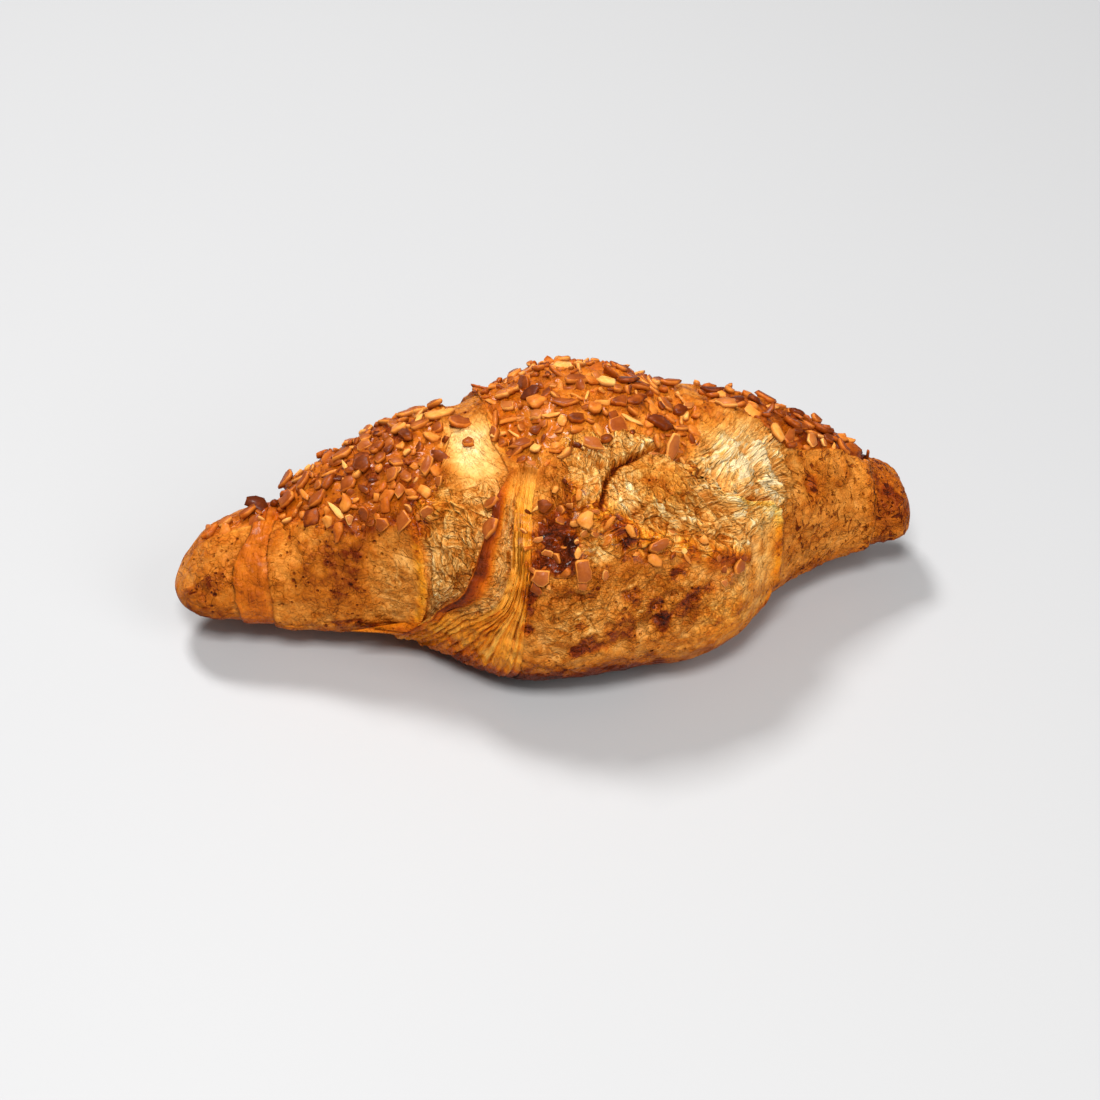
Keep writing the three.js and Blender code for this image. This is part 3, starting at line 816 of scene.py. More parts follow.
# Strength, x, angle, reaches and power: positive is browner, negative is paler. The row at x -31, angle 4 is
# painted light: it pales the dough where the fan's ridge casts shade.
BAKE_PATCHES = [
    [0.17, -56, 25, 10, 24, 4], [-0.06, -41, 5, 8, 25, 4], [-0.05, -31, 8, 5, 14], [-0.1, -31, 4, 3.5, 18, 4],
    [0.03, -28, 26, 5, 26, 4], [-0.12, -11.5, 48, 2.5, 16], [0.12, -4, 33, 6, 10], [0.05, 4, 55, 8, 9, 4],
    [0.06, 4, 55, 7, 8, 4], [-0.06, 14, 45, 5, 8, 4], [0.14, 21, 2, 3, 4], [-0.06, 24, 54, 7, 8, 4],
    [0.05, 38, 38, 9, 12, 4], [-0.07, 46, 70, 8, 17, 4], [-0.16, 46, 70, 10, 22, 4],
    [-0.15, 46, 12, 12, 30, 4], [0.06, 49, 55, 3, 6], [-0.06, 55, 50, 5, 14], [-0.1, 56, 50, 5, 14, 4]]
BASE_LEVEL = 0.525
proud = height - blurred(height)
islands = soft_step(rough_noise(body, 4.5, 91, 4), 0.44, 0.54) - 0.5
# The fold term here is painted shade along the fold's groove.
level = BASE_LEVEL + patches(BAKE_PATCHES) - 0.25 * pale - 0.37 * cream_top + 0.32 * fold_shade
# Painted shade: the first term makes the colour darker towards the underside, most under the belly.
level += (0.06 + 0.34 * between(X, -30, 20, 10)) * soft_step(-D, 6, 34) + 0.05 * soft_step(D, 135, 175)
level += 0.07 * between(X, 64, 90, 4) + 0.16 * between(X, 85, 99, 2)
level += 0.1 * between(X, -95, -80, 2) * (D < 50)
level -= (1 - cover) * (0.06 * between(X, -66, -57, 2) + 0.09 * between(X, 62, 100, 3))
level -= 0.04 * between(X, -8, 50, 4) * soft_step(-D, -26, 0)
level += 0.07 * band - 0.07 * strand_near + 0.16 * ridge_near + 0.03 * fan - 0.22 * fan * (1 - ridge_near)
level += 0.2 * layer_tone + 0.04 * groove_between
level += 0.14 * in_left * (1 - soft_step(q_left, 0.26, 0.36)) * between(D, 0, 60, 8)
# The term past the lip is painted shade on the sunk dough beside it.
level += 0.21 * torn_edge + 0.1 * lip_rim - 0.11 * lip_near + 0.08 * shade_beyond_lip
level += cover * (0.1 * (X > 42) + 0.07 * (X < -24) - 0.03 * between(X, -14, 36, 2))
# Painted shade: darker round the almonds where they sit in the crust, and in the troughs between the slanted
# strands.
level += 0.09 * cover * unit(1.3 * fillet) + 0.05 * slant_zone * (slant_crests < 0.35)
# The shard term is painted shade and light: one side of each tilted shard is darker and the other paler.
level += (0.33 - 0.07 * patch(-4, 34, 9, 18, 4)) * caramel + 0.06 * shard * rough_skin
# On very pale dough the sign turns: painted highlight on crests and painted shade in hollows.
level += 0.15 * np.clip(proud, -1.4, 1.4) * (0.5 + 0.5 * cover - 1.3 * very_pale)
level += (1 - 0.6 * unit(2 * pale)) * (0.2 * unevenness(7, 81, 4) + 0.05 * unevenness(1.6, 83, 2))
level += 0.11 * islands * rough_skin * (1 - cover) * (0.5 + 0.5 * between(X, -12, 50, 3))
level = np.clip(level, 0, 0.9)
# Painted shade: this mask darkens the colour in hollows, by a warm multiply in the crust's material.
hollow_shade = unit(-proud / 1.5) * (1 - 0.8 * unit(2 * pale + cream_top))
glaze = unit(0.7 * cover + 0.9 * caramel + 0.35 * band + 0.25 * fan + 0.5 * unit(fillet))
print("bake level", level.min().round(2), "to", level.max().round(2), "mean", level.mean().round(2))


# %% [markdown]
# ## Writing the crust as a mesh
# The grid closes round the body, and at each tip all rows meet in one point, where triangles
# replace the quads. Points and faces go in with from_pydata, and masks and the crust's own unrolled
# coordinates with foreach_set.

# %% Mesh helpers
def make_object(name, vertices, faces, smooth=True):
    """A mesh object at the origin, from vertices in the crust's mm and lists of corner numbers."""
    mesh = bpy.data.meshes.new(name)
    mesh.from_pydata(((np.asarray(vertices) + shift) * MM).tolist(), [], [list(map(int, f)) for f in faces])
    mesh.polygons.foreach_set("use_smooth", [smooth] * len(mesh.polygons))
    mesh.update()
    piece = bpy.data.objects.new(name, mesh)
    bpy.context.scene.collection.objects.link(piece)
    return piece


def give_attribute(piece, name, values):
    """One number per vertex, which a material reads by name."""
    layer = piece.data.attributes.new(name, "FLOAT", "POINT")
    layer.data.foreach_set("value", np.asarray(values, np.float32).ravel())


def inner(grid):
    """The grid without its first and last column, which are single points at the tips."""
    return grid[:, 1:-1]


# %% The crust
rows, columns = X.shape[0], X.shape[1] - 2
ids = np.arange(rows * columns).reshape(rows, columns)
below, above = ids, np.roll(ids, -1, 0)
quads = np.stack([below[:, :-1], below[:, 1:], above[:, 1:], above[:, :-1]], -1).reshape(-1, 4)
left_pole, right_pole = rows * columns, rows * columns + 1
left_fan = np.stack([0 * ids[:, 0] + left_pole, below[:, 0], above[:, 0]], -1)
right_fan = np.stack([below[:, -1], 0 * ids[:, 0] + right_pole, above[:, -1]], -1)
points = np.vstack([inner(crust).reshape(-1, 3), crust[:1, 0], crust[:1, -1]])
pastry = make_object("pastry_crust", points, [*quads, *left_fan, *right_fan])
MASKS = dict(
    bake=level, orange=orange, pale=pale, glaze=glaze, hollow_shade=hollow_shade, rough=rough_skin,
    layered=fan + band, shaded_crack=shaded_crack, squiggle=right_horn + 0.35 * between(X, -60, -20, 4),
    combed=slant_zone, pocked=unit(pocked + 0.7 * rough_bulge))
for name, grid in MASKS.items():
    give_attribute(pastry, name, np.concatenate([inner(grid).ravel(), grid[:1, 0], grid[:1, -1]]))
UNROLLED_SIZE = 260.0  # mm of crust across the unrolled unit square
COLUMN_STEP = 0.55  # mm that one column counts for, so that a pattern follows the wraps
column_place = np.broadcast_to(np.arange(X.shape[1]) * COLUMN_STEP, X.shape)
u = np.append(inner(column_place).ravel(), [0, column_place.max()]) / UNROLLED_SIZE
v = np.append(inner(arc - arc.min()).ravel(), [0, 0]) / UNROLLED_SIZE
corner_ids = np.empty(len(pastry.data.loops), np.int32)
pastry.data.loops.foreach_get("vertex_index", corner_ids)
unrolled = pastry.data.uv_layers.new(name="unrolled")
unrolled.data.foreach_set("uv", np.stack([u[corner_ids], v[corner_ids]], -1).astype(np.float32).ravel())
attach(pastry, "root")
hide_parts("pastry")
print("crust:", len(points), "points,", len(quads) * 2 + 2 * rows, "triangles")

# %% [markdown]
# ## The almond pieces
# A chopped almond is a chip with an uneven outline, a slightly domed face and broken sides. It is
# built from rings: an uneven polygon, repeated at four heights and at different sizes, and closed
# by a point at the top and one at the bottom. One function makes any number of chips at once.


# %% Chips as whole arrays
RING_SIZES = np.array([0.8, 1.0, 0.97, 0.8])[None, :, None]  # the four rings, from below to above
RING_LEVELS = np.array([-0.5, -0.2, 0.26, 0.5])[None, :, None]  # their heights, in thicknesses


def chips(sizes, curls, corners, seed):
    """Corner points of many chips, lying flat round the origin, as (chip, ring, corner, xyz), and
    the points that close them. sizes holds lengths, widths and thicknesses; a chip is bent along
    its length by its curl, and its outline is pulled in and out by random amounts."""
    random = np.random.default_rng(seed)
    lengths, widths, thicknesses = sizes.T
    count = len(lengths)
    turn = 2 * np.pi * (np.arange(corners)[None] + random.uniform(-0.36, 0.36, (count, corners))) / corners
    radius = random.uniform(0.62, 1.16, (count, corners))
    cos, sin = np.cos(turn), np.sin(turn)
    square = 1 / np.maximum(np.abs(cos), np.abs(sin))  # how far a square reaches past its circle
    radius *= 1 + 0.25 * (square - 1) * random.random((count, 1))
    flat = np.stack([radius * cos * lengths[:, None] / 2, radius * sin * widths[:, None] / 2], -1)
    ring_sizes = RING_SIZES * random.uniform(0.93, 1.07, (count, 4, 1))
    ring_sizes = ring_sizes * random.uniform(0.95, 1.05, (count, 4, corners))
    rings = flat[:, None] * ring_sizes[..., None]
    tilt = random.uniform(-0.2, 0.2, (count, 1, 1)) * rings[..., 0]
    bow = curls[:, None, None] * rings[..., 0] ** 2
    lump = random.uniform(-0.1, 0.1, (count, 4, corners)) * thicknesses[:, None, None]
    z = RING_LEVELS * thicknesses[:, None, None] + tilt + bow + lump
    points = np.concatenate([rings, z[..., None]], -1)
    low = np.stack([0 * lengths, 0 * lengths, -0.5 * thicknesses], -1)
    high = np.stack([0 * lengths, 0 * lengths, random.uniform(0.36, 0.56, count) * thicknesses], -1)
    return points, low, high


def chip_faces(corners):
    """Faces of one chip: quads between the rings and triangles at the two ends. Points are numbered
    ring by ring, then the low point, then the high point."""
    here = np.arange(corners)
    after = (here + 1) % corners
    faces = []
    for ring in range(3):
        a, b = ring * corners, (ring + 1) * corners
        faces += np.stack([a + here, a + after, b + after, b + here], -1).tolist()
    low, high = 4 * corners, 4 * corners + 1
    faces += [[low, int(after[i]), int(here[i])] for i in range(corners)]
    faces += [[high, int(3 * corners + here[i]), int(3 * corners + after[i])] for i in range(corners)]
    return faces


def chip_cloud(name, places, axes, sizes, curls, corners, seed, shade, skin):
    """One object with many chips. axes holds each chip's long, wide and outward directions; shade
    is its tone and skin says whether the brown skin side shows."""
    rings, low, high = chips(sizes, curls, corners, seed)
    count = len(places)
    local = np.concatenate([rings.reshape(count, -1, 3), low[:, None], high[:, None]], 1)
    world = places[:, None] + np.einsum("nvi,nij->nvj", local, axes)
    per_chip = local.shape[1]
    faces = [[c + per_chip * i for c in face] for i in range(count) for face in chip_faces(corners)]
    piece = make_object(name, world.reshape(-1, 3), faces)
    top = np.zeros((per_chip,))
    top[3 * corners : 4 * corners] = 1
    top[-1] = 1
    give_attribute(piece, "shade", np.repeat(shade, per_chip))
    give_attribute(piece, "skin", (skin[:, None] * top[None]).ravel())
    give_attribute(piece, "underside", np.tile((np.arange(per_chip) < 2 * corners) * 1.0, count))
    return piece


# %% Directions for chips that lie on the crust
def lay_flat(normals, seed, lean):
    """Long, wide and outward directions for chips on the crust: the outward one is the normal,
    leaned by a random amount up to a chip's own "lean", and the long one is turned at random about it."""
    random = np.random.default_rng(seed)
    out = normals + lean * random.normal(size=normals.shape)
    out /= np.linalg.norm(out, axis=1, keepdims=True)
    any_way = random.normal(size=normals.shape)
    long = np.cross(out, any_way)
    long /= np.linalg.norm(long, axis=1, keepdims=True)
    return np.stack([long, np.cross(out, long), out], 1)


def zone_shade(x, degrees, random):
    """Tone of a chip from 0, pale and yellow, to 1, dark brown: darker on the ridge, paler on the
    front of the belly."""
    front = 1 - soft_step(degrees, 50, 68)
    tone = 0.59 - 0.1 * front * (np.abs(x - 12) < 32) + 0.12 * (x > 50) + 0.02 * (x < -25)
    return np.clip(tone + random.normal(0, 0.2, len(x)), 0.22, 1)


# %% [markdown]
# Most nibs are stubby chips, and about one in eight is a shaving: longer, narrower and thinner. A
# long nib lies flatter than a short one, because it would stand out as a spike.

# %% The small nibs
NIB_CORNERS, LARGE_CORNERS = 7, 9  # corners of a small nib's outline and of a large piece's
SHAVING_SHARE = 0.13
SHAVING_LENGTH, SHAVING_WIDTH, SHAVING_THICK = 1.45, 0.34, 0.8  # two shares of the length, and mm
nib_random = np.random.default_rng(23)


def each_nib(low, high):
    """A random number from low to high for each nib."""
    return nib_random.uniform(low, high, len(nib_places))


nib_x, nib_degrees = X.ravel()[nib_places], D.ravel()[nib_places]
middle = (nib_x >= -20) & (nib_x < 42)
nib_lengths = nib_lengths * np.where(middle & (nib_degrees < 60), 0.72, 1.0)
nib_normals = crust_normal.reshape(-1, 3)[nib_places]
shaving = nib_random.random(len(nib_places)) < SHAVING_SHARE
nib_axes = lay_flat(nib_normals, 29, np.where(shaving, 0.08, 0.55 / nib_lengths)[:, None])
nib_widths = nib_lengths * np.where(shaving, SHAVING_WIDTH, each_nib(0.45, 0.92))
nib_thick = np.clip(0.36 * nib_lengths, 0.8, 1.3) * each_nib(0.8, 1.2)
nib_thick = np.where(shaving, SHAVING_THICK, nib_thick)
nib_sizes = np.stack([nib_lengths * np.where(shaving, SHAVING_LENGTH, 1.0), nib_widths, nib_thick], -1)
shaving_curls = each_nib(-0.05, 0.04)
nib_curls = np.where(shaving, shaving_curls, each_nib(-0.03, 0.05))
raised = nib_thick * each_nib(0.0, 0.4)
nib_points = crust.reshape(-1, 3)[nib_places] + nib_normals * raised[:, None]
nib_shade = zone_shade(nib_x, nib_degrees, nib_random)
nib_skin = (nib_random.random(len(nib_x)) < 0.5) * (1.0 - shaving)
ZONES = {
    "nibs_left_horn": nib_x < -20,
    "nibs_crown": middle & (nib_degrees > 60),
    "nibs_belly_front": middle & (nib_degrees <= 60),
    "nibs_right_horn": nib_x >= 42,
}
nib_pieces = []
for seed, (name, here) in enumerate(ZONES.items()):
    piece = chip_cloud(
        name, nib_points[here], nib_axes[here], nib_sizes[here], nib_curls[here],
        NIB_CORNERS, 100 + seed, nib_shade[here], nib_skin[here])
    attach(piece, "root")
    nib_pieces.append(piece)
    print(name, "has", int(here.sum()), "nibs")

# %% [markdown]
# The large pieces follow the CAD solids one by one, so each keeps its node's number in its name.
# Each is settled onto the finished crust: it moves to the nearest point of the crust, and stands a
# little less than half its thickness above it, so its lower face lies in the glaze.


# %% Large almond pieces
def settle(name, number):
    """A detailed chip in the place of one CAD solid."""
    centre, span, axes = solids[name]
    nearest = np.argmin(((crust - centre) ** 2).sum(-1))
    normal = crust_normal.reshape(-1, 3)[nearest]
    out = axes[2] * np.sign(axes[2] @ normal)
    long = axes[0]
    frame_axes = np.stack([long, np.cross(out, long), out])[None]
    thickness = span[2] * 1.05
    place = crust.reshape(-1, 3)[nearest] + normal * thickness * 0.42
    random = np.random.default_rng(500 + number)
    x, degrees = X.ravel()[nearest], D.ravel()[nearest]
    shade = zone_shade(np.array([x]), np.array([degrees]), random)
    skin = np.array([1.0 if random.random() < 0.7 else 0.0])
    sizes = np.array([[span[0] * 1.02, span[1] * 1.02, thickness]])
    curl = np.array([random.uniform(-0.03, 0.04)])
    piece = chip_cloud(
        "chip_" + name[-2:], place[None], frame_axes, sizes, curl, LARGE_CORNERS, 700 + number, shade, skin)
    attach(piece, "root")
    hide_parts(name)
    return piece


large_pieces = [settle(name, number) for number, name in enumerate(almond_nodes)]
print("large pieces:", len(large_pieces))

# %% [markdown]
# ## Materials
# Both finishes are node trees. A few effects serve more than one place, so each is a group with
# named inputs and outputs: bake colour, pin specks, shards and fibres. The Principled shader stays
# in the material itself.


# %% Node helpers
def linear(red, green, blue):
    """A screen colour from 0 to 255, as the linear colour that shaders work in."""
    channels = np.array([red, green, blue]) / 255
    low = channels / 12.92
    high = ((channels + 0.055) / 1.055) ** 2.4
    return (*np.where(channels <= 0.04045, low, high).tolist(), 1.0)


def add_node(tree, kind, inputs=(), **settings):
    """A node with its settings, and its inputs set to values or linked to other nodes' outputs."""
    node = tree.nodes.new(kind)
    for name, value in settings.items():
        setattr(node, name, value)
    for name, value in dict(inputs).items():
        if isinstance(value, bpy.types.NodeSocket):
            tree.links.new(value, node.inputs[name])
        else:
            node.inputs[name].default_value = value
    return node


def calculate(tree, operation, *values, clamp=False):
    """A Math node's output."""
    node = add_node(tree, "ShaderNodeMath", enumerate(values), operation=operation, use_clamp=clamp)
    return node.outputs[0]


def noise(tree, place, scale, detail=2.0, roughness=0.5, distortion=0.0):
    """A noise texture's value, from 0 to 1 and mostly near one half."""
    inputs = {"Vector": place, "Scale": scale, "Detail": detail, "Roughness": roughness,
              "Distortion": distortion}
    return add_node(tree, "ShaderNodeTexNoise", inputs).outputs["Fac"]


def vectors(tree, operation, first, second):
    """A Vector Math node's output: a number for a dot product, and otherwise a vector."""
    inputs = {0: first, "Scale" if operation == "SCALE" else 1: second}
    node = add_node(tree, "ShaderNodeVectorMath", inputs, operation=operation)
    return node.outputs["Value" if operation == "DOT_PRODUCT" else "Vector"]


def turned_flat(tree, vector, angle):
    """A vector turned about the third axis, which is across the unrolled crust."""
    inputs = {"Vector": vector, "Angle": angle}
    return add_node(tree, "ShaderNodeVectorRotate", inputs, rotation_type="Z_AXIS").outputs[0]


def remap(tree, value, low, high, to_low=0.0, to_high=1.0):
    """A value spread from low..high to to_low..to_high, and kept inside it."""
    inputs = {"Value": value, "From Min": low, "From Max": high, "To Min": to_low, "To Max": to_high}
    return add_node(tree, "ShaderNodeMapRange", inputs).outputs[0]


def mix_colour(tree, share, first, second, blend="MIX"):
    """A mix of two colours."""
    node = add_node(tree, "ShaderNodeMix", data_type="RGBA", blend_type=blend)
    for index, value in ((0, share), (6, first), (7, second)):
        if isinstance(value, bpy.types.NodeSocket):
            tree.links.new(value, node.inputs[index])
        else:
            node.inputs[index].default_value = value
    return node.outputs[2]


def colour_ramp(tree, value, stops):
    """Colour by level, through (position, screen colour) stops."""
    node = add_node(tree, "ShaderNodeValToRGB", {"Fac": value})
    ramp = node.color_ramp
    while len(ramp.elements) < len(stops):
        ramp.elements.new(0.5)
    for element, (position, colour) in zip(ramp.elements, stops):
        element.position = position
        element.color = linear(*colour)
    return node.outputs["Color"]


def new_material(name):
    """A material with nodes, its node tree and its Principled shader."""
    material = bpy.data.materials.new(name)
    material.use_nodes = True
    return material, material.node_tree, material.node_tree.nodes["Principled BSDF"]


def attribute(tree, name):
    """A mask of the mesh."""
    return add_node(tree, "ShaderNodeAttribute", attribute_name=name).outputs["Fac"]


def new_group(name, inputs, outputs):
    """An empty node group with named inputs (name, kind, value) and outputs (name, kind)."""
    tree = bpy.data.node_groups.new(name, "ShaderNodeTree")
    for socket_name, kind, value in inputs:
        socket = tree.interface.new_socket(socket_name, in_out="INPUT", socket_type=kind)
        if value is not None:
            socket.default_value = value
    for socket_name, kind in outputs:
        tree.interface.new_socket(socket_name, in_out="OUTPUT", socket_type=kind)
    entry = tree.nodes.new("NodeGroupInput")
    leave = tree.nodes.new("NodeGroupOutput")
    return tree, entry.outputs, leave.inputs


def use_group(tree, group, **inputs):
    """A group placed in a material, with its own values."""
    node = tree.nodes.new("ShaderNodeGroup")
    node.node_tree = group
    for name, value in inputs.items():
        name = name.replace("_", " ").capitalize()
        if isinstance(value, bpy.types.NodeSocket):
            tree.links.new(value, node.inputs[name])
        else:
            node.inputs[name].default_value = value
    return node.outputs


FLOAT, VECTOR, COLOUR = "NodeSocketFloat", "NodeSocketVector", "NodeSocketColor"

# %% [markdown]
# ### Bake colour
# Dough goes from cream through tan and brown to black as it bakes, and where butter and sugar lie
# on it the same steps are more orange. Two colour ramps hold the two rows of steps, and the group
# mixes them.


# %% Bake colour group
def build_bake_colour():
    """Colour = mix of the dough's ramp and the butter's ramp, both read at the level."""
    tree, enter, leave = new_group(
        "bake colour", [("Level", FLOAT, 0.5), ("Orange", FLOAT, 0.0)], [("Color", COLOUR)])
    dough = colour_ramp(tree, enter["Level"], [
        (0.0, (255, 224, 168)), (0.09, (254, 206, 132)), (0.18, (249, 188, 106)), (0.30, (236, 164, 80)),
        (0.44, (212, 130, 46)), (0.60, (184, 97, 16)), (0.78, (116, 40, 0)), (1.0, (46, 8, 0))])
    butter = colour_ramp(tree, enter["Level"], [
        (0.0, (255, 216, 124)), (0.18, (250, 182, 66)), (0.36, (240, 146, 24)), (0.56, (204, 98, 5)),
        (0.76, (138, 50, 2)), (1.0, (52, 14, 0))])
    tree.links.new(mix_colour(tree, enter["Orange"], dough, butter), leave["Color"])
    return tree


bake_colour = build_bake_colour()

# %% [markdown]
# ### Pin specks
# The golden skin is full of tiny dark pores. They could be painted one by one, but a cell texture
# gives one point per cell, and a small disc round some of these points is a speck.


# %% Pin speck group
def build_specks():
    """Mask = 1 within half the size of a cell's point and 0 past the size, in the share of cells
    whose random number is low enough."""
    tree, enter, leave = new_group(
        "pin specks",
        [("Vector", VECTOR, None), ("Scale", FLOAT, 500.0), ("Size", FLOAT, 0.2), ("Share", FLOAT, 0.4)],
        [("Mask", FLOAT)])
    cells = add_node(tree, "ShaderNodeTexVoronoi", {"Vector": enter["Vector"], "Scale": enter["Scale"]})
    numbers = add_node(tree, "ShaderNodeSeparateColor", {"Color": cells.outputs["Color"]}).outputs
    chosen = calculate(tree, "LESS_THAN", numbers["Red"], enter["Share"])
    edge = calculate(tree, "MULTIPLY", enter["Size"], 0.5)
    disc = remap(tree, cells.outputs["Distance"], enter["Size"], edge)
    tree.links.new(calculate(tree, "MULTIPLY", disc, chosen), leave["Mask"])
    return tree


specks = build_specks()

# %% [markdown]
# ### Shards
# A crisp skin cracks into small plates that all lean a little differently, so each catches the light
# in its own way. In a cell texture, the step from a cell's point to the place being shaded, taken
# along a direction made from the cell's random colour, is such a leaning plate. Each plate also has
# its own tone, a crease round it, and fine fibres that run its own way.


# %% Shard group
HALF_TURN = 3.14  # fibres look the same after half a turn


def build_shards():
    """Lean = (place - cell's point) . (cell's random direction) * scale. Crease = 1 on the border
    between cells. Fibre = noise stretched along a direction of the cell's own."""
    tree, enter, leave = new_group(
        "shards", [("Vector", VECTOR, None), ("Scale", FLOAT, 400.0), ("Wobble", FLOAT, 0.001)],
        [("Lean", FLOAT), ("Crease", FLOAT), ("Tone", FLOAT), ("Fibre", FLOAT)])
    half = (0.5, 0.5, 0.5)
    wobble = add_node(
        tree, "ShaderNodeTexNoise", {"Vector": enter["Vector"], "Scale": enter["Scale"], "Detail": 2.0})
    centred = vectors(tree, "SUBTRACT", wobble.outputs["Color"], half)
    moved = vectors(tree, "SCALE", centred, enter["Wobble"])
    place = vectors(tree, "ADD", enter["Vector"], moved)
    where = {"Vector": place, "Scale": enter["Scale"]}
    cells = add_node(tree, "ShaderNodeTexVoronoi", where)
    borders = add_node(tree, "ShaderNodeTexVoronoi", where, feature="DISTANCE_TO_EDGE")
    offset = vectors(tree, "SUBTRACT", place, cells.outputs["Position"])
    way = vectors(tree, "SUBTRACT", cells.outputs["Color"], half)
    lean = vectors(tree, "DOT_PRODUCT", offset, way)
    tree.links.new(calculate(tree, "MULTIPLY", lean, enter["Scale"]), leave["Lean"])
    tree.links.new(remap(tree, borders.outputs["Distance"], 0.0, 0.09, 1.0, 0.0), leave["Crease"])
    numbers = add_node(tree, "ShaderNodeSeparateColor", {"Color": cells.outputs["Color"]}).outputs
    tree.links.new(numbers["Green"], leave["Tone"])
    turned = turned_flat(tree, place, calculate(tree, "MULTIPLY", numbers["Blue"], HALF_TURN))
    drawn = vectors(tree, "MULTIPLY", turned, (1.0, 0.09, 1.0))
    combed = noise(tree, drawn, calculate(tree, "MULTIPLY", enter["Scale"], 4.5), detail=1.0)
    tree.links.new(remap(tree, combed, 0.34, 0.66), leave["Fibre"])
    return tree


shards = build_shards()

# %% [markdown]
# ### Fibres
# Stretched dough tears into strands that cross each other. Three noise textures, each drawn out
# along its own direction in the unrolled coordinates, and folded so that their middle value becomes
# a crest, give three sets of strands.


# %% Fibre group
def build_fibres():
    """Height = the highest of three crests, each 1 where |noise - 0.5| is near 0."""
    tree, enter, leave = new_group(
        "fibres", [("Vector", VECTOR, None), ("Scale", FLOAT, 100.0), ("Stretch", FLOAT, 0.2)],
        [("Height", FLOAT)])
    squeeze = add_node(tree, "ShaderNodeCombineXYZ", {"X": 1.0, "Y": enter["Stretch"], "Z": 1.0}).outputs[0]
    heights = []
    for turn in (0.35, -0.7, 1.3):
        drawn = vectors(tree, "MULTIPLY", turned_flat(tree, enter["Vector"], turn), squeeze)
        strands = noise(tree, drawn, enter["Scale"], detail=1.0, distortion=0.5)
        folded = calculate(tree, "ABSOLUTE", calculate(tree, "SUBTRACT", strands, 0.5))
        heights.append(remap(tree, folded, 0.075, 0.01))
    crossed = calculate(tree, "MAXIMUM", calculate(tree, "MAXIMUM", heights[0], heights[1]), heights[2])
    tree.links.new(crossed, leave["Height"])
    return tree


fibres = build_fibres()

# %% [markdown]
# ### The crust
# The masks choose the finish: specks and pits on the golden skin, torn shards and fibres on the pale dough,
# fine lines along the layers, and a glossy coat where the glaze ran. The colour also holds painted light:
# painted shade on one side of each tilted shard and in the creases, cracks and hollows, and painted
# highlights along the fibres. The shards on the pale dough follow the unrolled coordinates, so they stretch
# round the body as the dough did.


